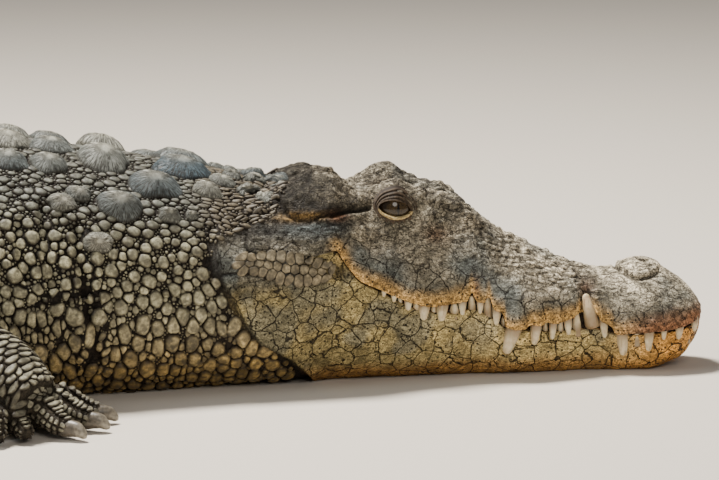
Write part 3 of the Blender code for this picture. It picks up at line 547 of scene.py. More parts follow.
limb_tubes, claw_seats = [], []
for name, (sign, hip, bend, wrist, knuckles, thick) in LEGS.items():
    joints = [Vector(place(p[0], sign * p[1], p[2])) for p in (hip, bend, wrist, knuckles)]
    hip_p, bend_p, wrist_p, knuckle_p = joints
    a, b, ankle, depth = thick
    c = LIMB_COAT
    upper_leg = curve_through([hip_p, hip_p.lerp(bend_p, 0.5), bend_p, bend_p.lerp(wrist_p, 0.06)],
                              [(a - c, a * 0.92 - c), ((a + b) / 2 - c, (a + b) * 0.46 - c),
                               (b - c, b * 0.92 - c), (b * 0.8 - c, b * 0.74 - c)], 26)
    lower_leg = curve_through([bend_p.lerp(wrist_p, -0.10), bend_p.lerp(wrist_p, 0.30),
                               bend_p.lerp(wrist_p, 0.68), wrist_p, wrist_p.lerp(knuckle_p, 0.65),
                               wrist_p.lerp(knuckle_p, 1.04)],
                              [(b * 0.82 - c, b * 0.76 - c), (b * 0.93 - c, b * 0.86 - c),
                               (ankle * 1.04 - c, ankle * 0.95 - c),
                               (ankle * 0.94 - c, ankle * 0.80 - c),
                               (ankle * 0.98 - c, depth * 0.82 - c),
                               (ankle * 0.78 - c, depth * 0.52 - c)], 36)
    limb_tubes.append((name, "upper", *upper_leg))
    limb_tubes.append((name, "lower", *lower_leg))
    direction = (knuckle_p - wrist_p).normalized()
    level = Vector((direction.x, direction.y, 0)).normalized()
    spread = Vector((level.y, -level.x, 0)) * -sign
    reach = (knuckle_p - wrist_p).length
    toes = FORE_TOES if name.startswith("fore") else HIND_TOES
    tips = []
    for number, (degrees, toe_reach, half) in enumerate(toes):
        across = (number / (len(toes) - 1) - 0.5) * 1.45 * ankle
        start = wrist_p + direction * reach * 0.62 + spread * across
        turn = math.radians(degrees)
        heading = (level * math.cos(turn) + spread * math.sin(turn)).normalized()
        path = []
        for k, height in ((0.0, depth * 0.60), (0.42, depth * 0.84), (0.76, half * 1.32),
                          (1.0, half * 0.92)):
            point = start + heading * toe_reach * k
            path.append(Vector((point.x, point.y, height)))
        r = half - TOE_COAT
        sizes = [(r, r * 0.95), (r * 1.10, r * 1.02), (r * 0.98, r * 0.95), (r * 0.80, r * 0.80)]
        toe = curve_through(path, sizes, 20)
        limb_tubes.append((name, "toe", *toe))
        tips.append(path)
        if number < 3:
            claw_seats.append((name.replace("leg", "foot"), number + 1, path[-1], heading, half))
    # webs between neighbouring toes, short on the hand and long on the hind foot
    share = 0.30 if name.startswith("fore") else 0.62
    for first, second in zip(tips[:-1], tips[1:]):
        for k in (0.25, 0.5, 0.75):
            start = first[0].lerp(second[0], k)
            end = first[0].lerp(first[-1], share).lerp(second[0].lerp(second[-1], share), k)
            start.z, end.z = 0.010, 0.007
            web = curve_through([start, start.lerp(end, 0.5), end],
                                [(0.008, 0.008), (0.007, 0.006), (0.004, 0.004)], 8)
            limb_tubes.append((name, "web", *web))

points, faces = [], []
for name, kind, path, sizes in limb_tubes:
    rings = sweep(path, sizes)[0]
    faces += tube_faces(rings.shape[0], rings.shape[1], len(points))
    points += rings.reshape(-1, 3).tolist()
points = np.array(points)
points[:, 2] = np.maximum(points[:, 2], LIMB_CLEAR)
limb_mesh = bpy.data.meshes.new("limb_form")
limb_mesh.from_pydata(points.tolist(), [], faces)
limbs = add_object("limb_form", limb_mesh)
remesh = limbs.modifiers.new("even", "REMESH")
remesh.mode = "VOXEL"
remesh.voxel_size = LIMB_VOXEL
soften = limbs.modifiers.new("soften", "SMOOTH")
soften.factor = 0.5
soften.iterations = 3


def baked(piece):
    """A new mesh with the piece's modifiers carried out."""
    bpy.context.view_layer.update()
    graph = bpy.context.evaluated_depsgraph_get()
    return bpy.data.meshes.new_from_object(piece.evaluated_get(graph), depsgraph=graph)


def surface(mesh):
    return BVHTree.FromPolygons([v.co for v in mesh.vertices], [p.vertices for p in mesh.polygons])


limb_smooth = baked(limbs)
bpy.data.objects.remove(limbs)
limbs = add_object("limb_form", limb_smooth)
weld = body.modifiers.new("weld", "BOOLEAN")
weld.operation = "UNION"
weld.solver = "MANIFOLD"
weld.object = limbs
hide_mesh = baked(body)
limb_tree, body_tree = surface(limb_smooth), surface(body.data)
bpy.data.objects.remove(body)
bpy.data.objects.remove(limbs)
hide = add_object("hide", hide_mesh)
count = len(hide_mesh.vertices)
co = np.zeros(count * 3)
hide_mesh.vertices.foreach_get("co", co)
co = co.reshape(-1, 3)
co[:, 2] = np.maximum(co[:, 2], HIDE_CLEAR)
hide_mesh.vertices.foreach_set("co", co.ravel())
hide_mesh.shade_smooth()

# Paint of the hide: grey, paler on top as painted light, ochre along the lips, and near black between the
# scales and in the folds as painted shade. The shader adds pores, fine cracks and mottling in the same
# places.


def srgb(r, g, b):
    c = np.array([r, g, b]) / 255.0
    return np.where(c < 0.04045, c / 12.92, ((c + 0.055) / 1.055) ** 2.4)


def mix(a, b, k):
    k = np.asarray(k)[..., None]
    return a * (1 - k) + b * k


def vertex_values(piece, name, values):
    """Stores one number or one colour for each vertex."""
    values = np.asarray(values, float)
    if values.ndim == 1:
        field = piece.data.attributes.new(name, "FLOAT", "POINT")
        field.data.foreach_set("value", values)
    else:
        field = piece.data.attributes.new(name, "FLOAT_COLOR", "POINT")
        rgba = np.ones((len(values), 4))
        rgba[:, :3] = values
        field.data.foreach_set("color", rgba.ravel())


LIT_TOP_PALE, SIDE_GREY, SLATE = srgb(168, 158, 138), srgb(116, 111, 96), srgb(98, 110, 112)
LIP_OCHRE, LIP_RUST, JAW_REAR = srgb(212, 168, 98), srgb(146, 96, 62), srgb(172, 155, 106)
JAW_MID, JAW_FRONT, JAW_KEEL = srgb(216, 192, 130), srgb(238, 172, 86), srgb(196, 142, 72)
GUM_SHADE_BROWN, SHADED_HIDE_GAP, ORBIT_BROWN = srgb(62, 50, 40), srgb(26, 21, 16), srgb(92, 76, 58)
LEG_HIDE_SHADE, TILE_PALE, EAR_RED = srgb(44, 39, 31), srgb(172, 158, 128), srgb(128, 82, 52)
HORN_GREY, NOTCH_RED = srgb(40, 37, 31), srgb(112, 78, 62)
# painted highlight: a pale strip along the edge that runs from the top of the horn down to the eye
HORN_EDGE = ((0.431, 0.2345), (0.419, 0.2335), (0.4085, 0.2252), (0.395, 0.2160), (0.383, 0.2075),
             (0.371, 0.2025))
# the scaled neck begins behind this line above the jowl
NAPE_LINE_Z = (0.165, 0.172, 0.176, 0.181, 0.189, 0.203, 0.214, 0.230)
NAPE_LINE_S = (0.541, 0.530, 0.508, 0.496, 0.474, 0.4685, 0.4625, 0.449)


def behind_face(s, z):
    """How far behind the bare skin of the face a place lies."""
    return np.where(z > NAPE_LINE_Z[0], s - np.interp(z, NAPE_LINE_Z, NAPE_LINE_S), behind_line(s, z))


def hide_colour(s, t, z, row_part, n, points):
    """Paint of the bare hide by place on the body, with painted light on top and painted shade between the
    scales.
    """
    lip = monotone(LIP_EDGE, s)
    above_lip = z - lip
    mottle = noise(points, 0.030, 81, 3)
    patchy = noise(points, 0.045, 83, 2)
    # painted light: the skin is paler the more it faces up
    top = smooth(n[..., 2] + 0.25 * mottle, 0.10, 0.75)
    colour = mix(SIDE_GREY, LIT_TOP_PALE, top)
    colour = mix(colour, SLATE, 0.55 * smooth(patchy, 0.0, 0.40) * (1 - 0.5 * top))
    rear = smooth(s, 0.375, 0.41) * smooth(z, 0.150, 0.175)
    colour = mix(colour, HORN_GREY, 0.97 * rear * (0.84 + 0.16 * smooth(mottle, -0.4, 0.4)))
    # painted highlight along the horn's edge
    edge = hump(distance_to_line(s, z, HORN_EDGE), 0.0055) * (np.abs(t) > 0.03)
    colour = mix(colour, LIT_TOP_PALE, 0.85 * edge)
    # painted light: the top of the snout is brightened further
    colour = colour * (1 + 0.55 * top * (1 - smooth(s, 0.21, 0.27)))[..., None]
    band = (1 - smooth(above_lip + 0.004 * mottle, 0.001, 0.022)) * smooth(s, 0.06, 0.12)
    colour = mix(colour, LIP_OCHRE, 0.92 * band * (1 - smooth(s, 0.405, 0.43)))
    front = (1 - smooth(above_lip + 0.006 * mottle, 0.000, 0.026)) * (1 - smooth(s, 0.06, 0.12))
    colour = mix(colour, LIP_RUST, 0.85 * front)
    jaw = mix(mix(JAW_FRONT, JAW_MID, smooth(s, 0.03, 0.13)), JAW_REAR, smooth(s, 0.22, 0.36))
    cloud = noise(points, 0.028, 85, 2) + 0.9 * smooth(z, 0.02, 0.06)
    jaw = mix(jaw, SLATE, 0.45 * smooth(cloud, 0.55, 1.1))
    jaw = mix(jaw, JAW_KEEL, 0.8 * (1 - smooth(z + 0.004 * mottle, 0.008, 0.028)))
    on_jaw = smooth(row_part, 1.9, 2.0) * (1 - smooth(s, 0.43, 0.47))
    colour = mix(colour, jaw, on_jaw + smooth(s, 0.43, 0.47) * (1 - smooth(z, 0.10, 0.13)))
    # painted shade: the gum, set back under the lip, is dark brown
    gum = smooth(row_part, 1.02, 1.12) * (1 - smooth(row_part, 1.86, 1.96))
    gum = gum * (1 - smooth(s, LIP_END, LIP_END + 0.01))
    colour = mix(colour, GUM_SHADE_BROWN, gum)
    for shade, amount, back, reach, high, tall in SPOTS:
        spot = hump(s - back, reach) * hump(z - high, tall) * (np.abs(t) > 0.02)
        colour = mix(colour, shade, amount * spot)
    colour = colour * (1 + 0.20 * mottle + 0.10 * noise(points, 0.008, 87, 2))[..., None]
    # painted shade: the hide behind the face, seen only between the scales, is near black, less dark near
    # the ground
    under = mix(SHADED_HIDE_GAP, SHADED_HIDE_GAP * 2.2, 1 - smooth(z, 0.02, 0.09))
    return mix(colour, under, smooth(behind_face(s, z), -0.004, 0.008))


# spots of colour: paint, strength, distance and reach along, height and reach up
SPOTS = (
    (ORBIT_BROWN, 0.85, 0.350, 0.024, 0.195, 0.016), (EAR_RED, 0.75, 0.412, 0.010, 0.186, 0.005),
    (EAR_RED, 0.45, 0.302, 0.012, 0.160, 0.008), (NOTCH_RED, 0.75, 0.134, 0.010, 0.096, 0.009),
    (LIP_RUST, 0.45, 0.260, 0.004, 0.100, 0.014), (LIP_OCHRE, 0.60, 0.452, 0.024, 0.186, 0.004),
    (TILE_PALE, 0.45, 0.388, 0.014, 0.166, 0.007), (LIP_OCHRE, 0.45, 0.407, 0.008, 0.148, 0.012),
    (SLATE, 0.50, 0.440, 0.040, 0.172, 0.010), (LIT_TOP_PALE, 0.55, 0.405, 0.022, 0.212, 0.010),
    (SLATE, 0.45, 0.225, 0.020, 0.098, 0.008),
)


def point_tree(points):
    tree = KDTree(len(points))
    for k, p in enumerate(points):
        tree.insert(p, k)
    tree.balance()
    return tree


def body_uv(sign, s, u):
    """Place on the map of the baked colours, on an unwrap of the body along its spine."""
    return np.stack(np.broadcast_arrays(0.02 + 0.96 * s / 3.3, 0.31 + 0.29 * sign * u), -1)


def bake_map(mesh, uv):
    """The map for the baked colours, from one place for each vertex."""
    layer = mesh.uv_layers.new(name="OFBake")
    loop = np.zeros(len(mesh.loops), np.int32)
    mesh.loops.foreach_get("vertex_index", loop)
    layer.data.foreach_set("uv", uv[loop].ravel())


field = np.clip(hide_colour(grid_s, grid_t, grid_z, grid_part, normal, body_points), 0.003, 1)
tree = point_tree(skin_grid.reshape(-1, 3))
nearest = np.zeros(count, int)
off_body = np.zeros(count)
for k, p in enumerate(co):
    _, nearest[k], off_body[k] = tree.find(p)
# painted shade: the hide of the legs, seen between their scales and on the webs, is dark brown
on_limb = smooth(off_body, 0.0045, 0.012) * (grid_s.reshape(-1)[nearest] > 0.6)
tint = mix(field.reshape(-1, 3)[nearest], LEG_HIDE_SHADE, on_limb)
vertex_values(hide, "tint", tint)
# painted shade in the folds and grooves
vertex_values(hide, "groove_shade", groove_shade.reshape(-1)[nearest] * (1 - on_limb))
row_part = grid_part.reshape(-1)[nearest]
bare_skin = (1 - smooth(behind_face(grid_s, grid_z).reshape(-1)[nearest], -0.002, 0.008)) * (1 - on_limb)
low_face = smooth(row_part, 0.55, 0.85)
vertex_values(hide, "pores", bare_skin * low_face)
vertex_values(hide, "bare", bare_skin)
lip_up = (grid_z - monotone(LIP_EDGE, grid_s)).reshape(-1)[nearest]
in_lip = (row_part <= 1.0) * (1 - smooth(lip_up, 0.009, 0.017))
vertex_values(hide, "seamed", bare_skin * low_face * (1 - in_lip))
column = np.arange(COLUMNS_ALL)
around = np.minimum(column, COLUMNS_ALL - column) / (HALF_POINTS - 1)
turned = np.where(column < HALF_POINTS, -1, 1) * around
flat_uv = body_uv(1, grid_s, turned[None, :]).reshape(-1, 2)[nearest]
bake_map(hide_mesh, flat_uv + on_limb[:, None] * np.array([0.0, 0.34]))


def start_paint(name, roughness):
    """A new Principled material, which the node makers below then add to."""
    global paint_nodes, paint_links, surface_in, place_out
    made = bpy.data.materials.new(name)
    made.use_nodes = True
    paint_nodes, paint_links = made.node_tree.nodes, made.node_tree.links
    surface_in = paint_nodes["Principled BSDF"].inputs
    surface_in["Roughness"].default_value = roughness
    place_out = paint_nodes.new("ShaderNodeTexCoord").outputs["Object"]
    return made


def put(socket, value):
    if isinstance(value, bpy.types.NodeSocket):
        paint_links.new(value, socket)
    else:
        socket.default_value = value


def texture(kind, scale, vector=None, output=0, **more):
    node = paint_nodes.new(kind)
    for key, value in more.items():
        if hasattr(node, key):
            setattr(node, key, value)
        else:
            node.inputs[key.title()].default_value = value
    node.inputs["Scale"].default_value = scale
    put(node.inputs["Vector"], vector or place_out)
    return node.outputs[output]


def clouds(*values, **more):
    return texture("ShaderNodeTexNoise", *values, **more)


def polygons(*values, **more):
    return texture("ShaderNodeTexVoronoi", *values, **more)


def maths(operation, *values):
    node = paint_nodes.new("ShaderNodeMath")
    node.operation = operation
    for socket, value in zip(node.inputs, values):
        put(socket, value)
    return node.outputs[0]


def times(a, b):
    return maths("MULTIPLY", a, b)


def plus(a, b):
    return maths("ADD", a, b)


def spread(*values):
    """A smooth step: value, low, high, and what they become if that isn't 0 and 1."""
    node = paint_nodes.new("ShaderNodeMapRange")
    node.interpolation_type = "SMOOTHSTEP"
    for key, value in zip(("Value", "From Min", "From Max", "To Min", "To Max"), values):
        put(node.inputs[key], value)
    return node.outputs[0]


def blend(factor, a, b, kind="MIX"):
    node = paint_nodes.new("ShaderNodeMix")
    node.data_type = "RGBA"
    node.blend_type = kind
    for key, value in (("Factor", factor), (6, a), (7, b)):
        put(node.inputs[key], value)
    return node.outputs[2]


def stored(key, output="Fac"):
    node = paint_nodes.new("ShaderNodeAttribute")
    node.attribute_name = key
    return node.outputs[output]


def bump(height, strength, distance):
    node = paint_nodes.new("ShaderNodeBump")
    for key, value in (("Strength", strength), ("Distance", distance), ("Height", height)):
        put(node.inputs[key], value)
    return node.outputs[0]


def stretched_by(*share):
    node = paint_nodes.new("ShaderNodeMapping")
    put(node.inputs["Scale"], share)
    put(node.inputs["Vector"], place_out)
    return node.outputs[0]


def split(vector):
    node = paint_nodes.new("ShaderNodeSeparateXYZ")
    put(node.inputs[0], vector)
    return node.outputs


hide_paint = start_paint("hide_paint", 0.60)
tint, groove_shade_at, low_at, bare_at = stored("tint", "Color"), stored("groove_shade"), stored("pores"), stored("bare")
seamed_at = stored("seamed")
soft = clouds(55.0, detail=8.0, roughness=0.65)
middle = clouds(170.0, detail=5.0, roughness=0.6)
grain = clouds(520.0, detail=4.0, roughness=0.6)
# fine wrinkles follow the contours of a soft noise, drawn out along the snout on its top
worm = clouds(185.0, stretched_by(0.45, 1.0, 1.0), detail=2.0, roughness=0.5)
worm_line = spread(maths("ABSOLUTE", maths("SUBTRACT", worm, 0.5)), 0.004, 0.040, 1.0, 0.0)
small_worm = clouds(360.0, detail=1.0, roughness=0.5)
small_line = spread(maths("ABSOLUTE", maths("SUBTRACT", small_worm, 0.5)), 0.004, 0.045, 1.0, 0.0)
# broad polygons with black seams on cheek and jaw, their edges bent by the noise
bend = paint_nodes.new("ShaderNodeVectorMath")
bend.operation = "MULTIPLY_ADD"
for socket, value in zip(bend.inputs, (clouds(70.0, output=1, detail=3.0), (0.009,) * 3, place_out)):
    put(socket, value)
seams = polygons(44.0, bend.outputs[0], feature="DISTANCE_TO_EDGE")
small_seams = polygons(92.0, bend.outputs[0], feature="DISTANCE_TO_EDGE")
seam_line = times(spread(seams, 0.010, 0.032, 1.0, 0.0), spread(soft, 0.36, 0.44))
small_seam_line = times(spread(small_seams, 0.012, 0.038, 1.0, 0.0), spread(soft, 0.52, 0.60))
seam_line = times(maths("MAXIMUM", seam_line, times(small_seam_line, 0.8)), seamed_at)
pore = polygons(185.0, feature="F1")
pore_dot = times(spread(pore, 0.17, 0.25, 1.0, 0.0), times(low_at, spread(middle, 0.34, 0.44)))
colour = blend(1.0, tint, spread(soft, 0.30, 0.70, 0.58, 1.36), "MULTIPLY")
calm = maths("SUBTRACT", 1.0, times(seamed_at, 0.55))
colour = blend(calm, colour, blend(1.0, colour, spread(middle, 0.32, 0.68, 0.50, 1.58), "MULTIPLY"))
colour = blend(calm, colour, blend(1.0, colour, spread(grain, 0.30, 0.70, 0.55, 1.45), "MULTIPLY"))
dark_brown = (0.016, 0.012, 0.009, 1)
top_at = times(bare_at, maths("SUBTRACT", 1.0, low_at))
worms = times(worm_line, plus(times(top_at, 0.72), times(low_at, 0.34)))
colour = blend(worms, colour, dark_brown)
colour = blend(times(small_line, times(bare_at, 0.55)), colour, dark_brown)
colour = blend(times(pore_dot, 0.90), colour, dark_brown)
# dark seams of the skin, and painted shade in the folds and grooves
colour = blend(times(maths("MAXIMUM", seam_line, groove_shade_at), 0.90), colour, dark_brown)
put(surface_in["Base Color"], colour)
height = plus(times(worms, -1.3), times(middle, 1.6))
height = plus(height, times(grain, 0.6))
height = plus(height, times(seam_line, -1.5))
height = plus(height, times(plus(pore_dot, times(small_line, 0.5)), -0.7))
put(surface_in["Normal"], bump(height, 1.0, 0.0020))
surface_in["Specular IOR Level"].default_value = 0.16
hide.data.materials.clear()
hide.data.materials.append(hide_paint)
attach(hide, "root")
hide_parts("head", "lower_jaw", "neck", "trunk", "tail_base", "tail_middle", "tail_tip",
            "foreleg_right", "foreleg_left", "hindleg_right", "hindleg_left",
            "forefoot_right", "forefoot_left", "hindfoot_right", "hindfoot_left")

# ---- Eyes and eyelids ------------------------------------------------------------------------
# Glass eyes: a painted ball with a slit pupil under a clear bulge. The lids are cast with the
# hide: a wrinkled upper lid of four rings, and a lower lid that ends in a row of yellow beads.

LID_ROUND, LID_RINGS = 120, 24
LID_REACH, LID_FOLDS, LID_BEADS = 0.0140, 4.2, 27


def lid_mesh(sign):
    """A ring of lid from the wall that touches the eyeball to where it runs out on the head."""
    near_eye, cols = (ring_s > 0.28) & (ring_s < 0.42), UPPER_POINTS
    points = np.stack([v[near_eye, :cols] for v in before_lids[sign]], -1)
    a = np.arange(len(points) - 1)[:, None] * cols + np.arange(cols - 1)
    faces = np.stack([a, a + 1, a + cols + 1, a + cols], -1).reshape(-1, 4).tolist()
    tree = BVHTree.FromPolygons(points.reshape(-1, 3).tolist(), faces)
    verts, kinds = [], []
    c, q = math.cos(SLIT_TILT), math.sin(SLIT_TILT)
    for r in range(LID_RINGS):
        k = r / (LID_RINGS - 1)
        for m in range(LID_ROUND):
            turn = 2 * math.pi * m / LID_ROUND
            cos_, sin_ = math.cos(turn), math.sin(turn)
            over = max(sin_, 0.0)
            under = max(-sin_, 0.0)
            # almond: pointed at both corners, the upper lid arched more than the lower
            tall = SLIT_HEIGHT * (1.0 if sin_ > 0 else 0.86)
            along = SLIT_LENGTH * cos_
            up = tall * math.copysign(abs(sin_) ** 1.25, sin_)
            grow = LID_REACH * k * (0.55 + 0.45 * over + 0.10 * under)
            along += cos_ * grow * (1.15 if cos_ > 0 else 0.80)
            up += (sin_ + 0.15 * (1 if sin_ > 0 else -1) * (1 - abs(cos_))) * grow
            ds, dz = along * c - up * q, along * q + up * c
            sv, zv = EYE_BACK - 0.0005 - ds, EYE_HEIGHT + 0.001 + dz
            hit = tree.ray_cast(Vector((sv, 0.20, zv)), Vector((0, -1, 0)))
            base = hit[0].y if hit[0] is not None else EYE_OUT
            edge = math.exp(-((k - 0.13) / 0.10) ** 2)
            lift = -0.0045 * (1 - float(smooth(k, 0.0, 0.12))) + 0.0010 * edge
            wander = 1.1 * math.sin(turn * 3) + 0.5 * math.sin(turn * 7 + 1)
            wave = math.sin(k * LID_FOLDS * 2 * math.pi + wander)
            shown = float(smooth(k, 0.15, 0.3)) * (1 - float(smooth(k, 0.85, 1.0)))
            lift += (0.25 + 0.75 * over) * 0.0010 * wave * shown
            bead = 0.5 + 0.5 * math.cos(turn * LID_BEADS)
            lift += under * (0.0014 * edge + 0.0014 * bead * math.exp(-((k - 0.22) / 0.15) ** 2))
            lift += 0.0005 * math.sin(along * 900 + up * 300) * (1 - edge) * under
            lift -= 0.0022 * float(smooth(k, 0.80, 1.0))
            verts.append((sv, base + lift, zv))
            corner = math.exp(-(math.remainder(turn + 0.24, 2 * math.pi) / 0.22) ** 2)
            corner *= 1 - float(smooth(k, 0.50, 0.75))
            # the yellow of the rim, and painted shade in the troughs of the wrinkles, strongest on the
            # upper lid
            kinds.append((max(corner, min(1.0, under * 1.6) * math.exp(-((k - 0.20) / 0.19) ** 4)),
                          (0.4 + 0.6 * over) * (0.5 - 0.5 * wave) * float(smooth(k, 0.12, 0.25))))
    verts = np.array(verts)
    world = place(verts[:, 0], verts[:, 1] * sign, verts[:, 2])
    faces = ring_quads(LID_RINGS, LID_ROUND, 0, (0, 3, 2, 1) if sign < 0 else (1, 2, 3, 0))
    return world, faces.tolist(), np.array(kinds)


def new_piece(name, points, faces):
    mesh = bpy.data.meshes.new(name)
    mesh.from_pydata(np.asarray(points).tolist(), [], faces)
    mesh.update()
    mesh.shade_smooth()
    piece = add_object(name, mesh)
    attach(piece, "root")
    return piece


BALL_ROUND, BALL_RINGS, BALL_BULGE = 48, 30, 0.0004
lids = []
for sign, side in SIDES:
    world_points, faces, kinds = lid_mesh(sign)
    lid = new_piece(f"eyelids_{side}", world_points, faces)
    lids.append((lid, kinds))
    # eyeball: rings round the line of sight, the pupil drawn by distance from its middle
    centre = Vector(place(EYE_BACK, EYE_OUT * sign, EYE_HEIGHT))
    ahead = Vector(place(EYE_BACK - 0.004, (EYE_OUT + EYE_RADIUS) * sign, EYE_HEIGHT + 0.001))
    gaze = (ahead - centre).normalized()
    across = gaze.cross(Vector((0, 0, 1))).normalized()
    upward = across.cross(gaze)
    verts, local = [], []
    for r in range(1, BALL_RINGS):
        polar = math.pi * r / BALL_RINGS
        for m in range(BALL_ROUND):
            turn = 2 * math.pi * m / BALL_ROUND
            radius = EYE_RADIUS + BALL_BULGE * math.exp(-(polar / 0.42) ** 4)
            x, y = math.sin(polar) * math.cos(turn), math.sin(polar) * math.sin(turn)
            verts.append(centre + (gaze * math.cos(polar) + across * x + upward * y) * radius)
            local.append((x, y, math.cos(polar)))
    verts.append(centre + gaze * (EYE_RADIUS + BALL_BULGE))
    verts.append(centre - gaze * EYE_RADIUS)
    local += [(0, 0, 1), (0, 0, -1)]
    front, rear = len(verts) - 2, len(verts) - 1
    faces = ring_quads(BALL_RINGS - 1, BALL_ROUND).tolist()
    for m in range(BALL_ROUND):
        n = (m + 1) % BALL_ROUND
        faces.append([front, m, n])
        faces.append([rear, (BALL_RINGS - 2) * BALL_ROUND + n, (BALL_RINGS - 2) * BALL_ROUND + m])
    ball = new_piece(f"eyeball_{side}", verts, faces)
    vertex_values(ball, "sight", np.array(local))
    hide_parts(f"eye_{side}")

# Lids: brown wrinkled skin above, with painted shade in the troughs of the wrinkles, a yellow beaded rim
# below.
lid_paint = start_paint("lid_paint", 0.68)
rim_at, fold_at = stored("rim"), stored("fold")
soft = clouds(260.0, detail=5.0, roughness=0.6)
colour = blend(spread(soft, 0.3, 0.7), (0.018, 0.012, 0.008, 1), (0.085, 0.060, 0.038, 1))
rim_tone = blend(spread(soft, 0.35, 0.65), (0.30, 0.21, 0.09, 1), (0.56, 0.44, 0.22, 1))
colour = blend(spread(rim_at, 0.25, 0.75), colour, rim_tone)
# painted shade in the troughs of the wrinkles
colour = blend(spread(fold_at, 0.25, 0.85, 0.0, 0.92), colour, (0.014, 0.009, 0.006, 1))
put(surface_in["Base Color"], colour)
put(surface_in["Normal"], bump(soft, 0.5, 0.0006))
surface_in["Specular IOR Level"].default_value = 0.20
for lid, kinds in lids:
    vertex_values(lid, "rim", kinds[:, 0])
    vertex_values(lid, "fold", kinds[:, 1])
    lid.data.materials.append(lid_paint)

# Glass of the eye: olive brown iris with a black upright slit, under a clear gloss.
eye_paint = start_paint("eye_paint", 0.05)
x, y, _ = split(stored("sight", "Color"))
radius = maths("SQRT", plus(maths("POWER", x, 2.0), maths("POWER", y, 2.0)))
speck = clouds(900.0, detail=4.0)
iris = blend(spread(speck, 0.35, 0.65), (0.014, 0.009, 0.004, 1), (0.055, 0.036, 0.016, 1))
iris = blend(spread(radius, 0.42, 0.62), iris, (0.014, 0.009, 0.005, 1))
slit = plus(times(maths("ABSOLUTE", x), 7.0), times(maths("ABSOLUTE", y), 1.5))
iris = blend(spread(slit, 0.42, 0.55, 1.0, 0.0), iris, (0.003, 0.003, 0.003, 1))
put(surface_in["Base Color"], iris)
surface_in["Specular IOR Level"].default_value = 0.25
surface_in["Coat Weight"].default_value = 0.35
surface_in["Coat Roughness"].default_value = 0.02
for side in ("right", "left"):
    bpy.data.objects[f"eyeball_{side}"].data.materials.append(eye_paint)

# ---- Teeth -----------------------------------------------------------------------------------
# Cast resin teeth set in the jaws: blunt cones, a little flattened, each leaning its own way. The
# upper ones hang outside the lower jaw, and the fourth lower one stands in a notch of the snout.

TOOTH_ROUND, TOOTH_RINGS, TOOTH_HIDDEN, TOOTH_FULLNESS = 16, 14, 0.006, 1.17
TOOTH_CLEAR = 0.0005
# root: distance and height; tip: distance and height; width at the root
UPPER_TEETH = (
    (0.0125, 0.054, 0.0120, 0.041, 0.0075), (0.0320, 0.050, 0.0330, 0.0360, 0.0085),
    (0.0501, 0.0475, 0.0503, 0.0370, 0.0060), (0.0666, 0.0475, 0.0672, 0.0249, 0.0104),
    (0.0956, 0.0465, 0.0945, 0.0205, 0.0137), (0.1160, 0.0580, 0.1150, 0.0405, 0.0090),
    (0.1569, 0.0635, 0.1560, 0.0450, 0.0087), (0.1736, 0.0600, 0.1745, 0.0410, 0.0082),
    (0.1926, 0.0605, 0.1950, 0.0366, 0.0117), (0.2165, 0.0585, 0.2265, 0.0280, 0.0164),
    (0.2365, 0.0780, 0.2375, 0.0607, 0.0093), (0.2547, 0.0880, 0.2552, 0.0736, 0.0071),
    (0.2742, 0.0870, 0.2746, 0.0729, 0.0082), (0.2965, 0.0850, 0.2980, 0.0677, 0.0126),
    (0.3163, 0.0865, 0.3178, 0.0703, 0.0120), (0.3345, 0.0935, 0.3353, 0.0820, 0.0087),
    (0.3504, 0.1000, 0.3510, 0.0920, 0.0060), (0.3616, 0.1063, 0.3620, 0.0985, 0.0055),
)
LOWER_TEETH = (
    (0.0205, 0.0340, 0.0210, 0.0480, 0.0066), (0.0410, 0.0350, 0.0415, 0.0455, 0.0060),
    (0.0794, 0.0360, 0.0800, 0.0504, 0.0098), (0.1290, 0.0580, 0.1375, 0.0900, 0.0138),
    (0.1456, 0.0479, 0.1462, 0.0690, 0.0098), (0.1643, 0.0458, 0.1640, 0.0640, 0.0071),
    (0.1816, 0.0478, 0.1812, 0.0640, 0.0060), (0.2285, 0.0600, 0.2285, 0.0700, 0.0048),
    (0.2459, 0.0700, 0.2462, 0.0932, 0.0093), (0.2632, 0.0775, 0.2637, 0.0935, 0.0082),
    (0.2826, 0.0745, 0.2830, 0.0860, 0.0098), (0.3059, 0.0765, 0.3062, 0.0850, 0.0060),
    (0.3255, 0.0815, 0.3258, 0.0900, 0.0077), (0.3436, 0.0905, 0.3438, 0.0970, 0.0055),
)
FOURTH_LOWER = 3
rng = np.random.default_rng(4)


def jaw_side(s, z):
    """How far out the lower jaw's side lies at a height below its edge."""
    _, below, _, _, under = (float(v[0]) for v in body_sizes(np.array([s])))
    edge = float(monotone(JAW_EDGE, np.array([s]))[0])
    drop = min(max((edge - z) / (edge - under), 0.0), 0.98)
    return below * (1 - drop ** 2.5) ** 0.4


def tooth_rings(root, tip, width, bow):
    """Rings of a blunt, slightly bowed cone between two (distance, sideways, height) points."""
    root, tip = Vector(root), Vector(tip)
    axis = (tip - root).normalized()
    start = root - axis * TOOTH_HIDDEN
    length = (tip - start).length
    ahead = axis.cross(Vector((0, 1, 0))).normalized()
    out = ahead.cross(axis)
    verts = []
    for r in range(TOOTH_RINGS):
        k = r / (TOOTH_RINGS - 1)
        k = 1 - (1 - k) ** 1.5
        bare = max((k * length - TOOTH_HIDDEN) / (length - TOOTH_HIDDEN), 0.0)
        radius = width / 2 * (1 - 0.58 * bare ** 1.25)
        radius *= math.sqrt(max(1 - max((k - 0.90) / 0.10, 0.0) ** 2, 0.0004))
        middle = start + axis * (length * k) + out * bow * math.sin(math.pi * k)
        for m in range(TOOTH_ROUND):
            turn = 2 * math.pi * m / TOOTH_ROUND
            ridge = 1 + 0.02 * math.cos(turn * 5 + width * 900)
            way = ahead * math.cos(turn) + out * math.sin(turn) * 0.86
            verts.append(middle + way * radius * ridge)
    return verts


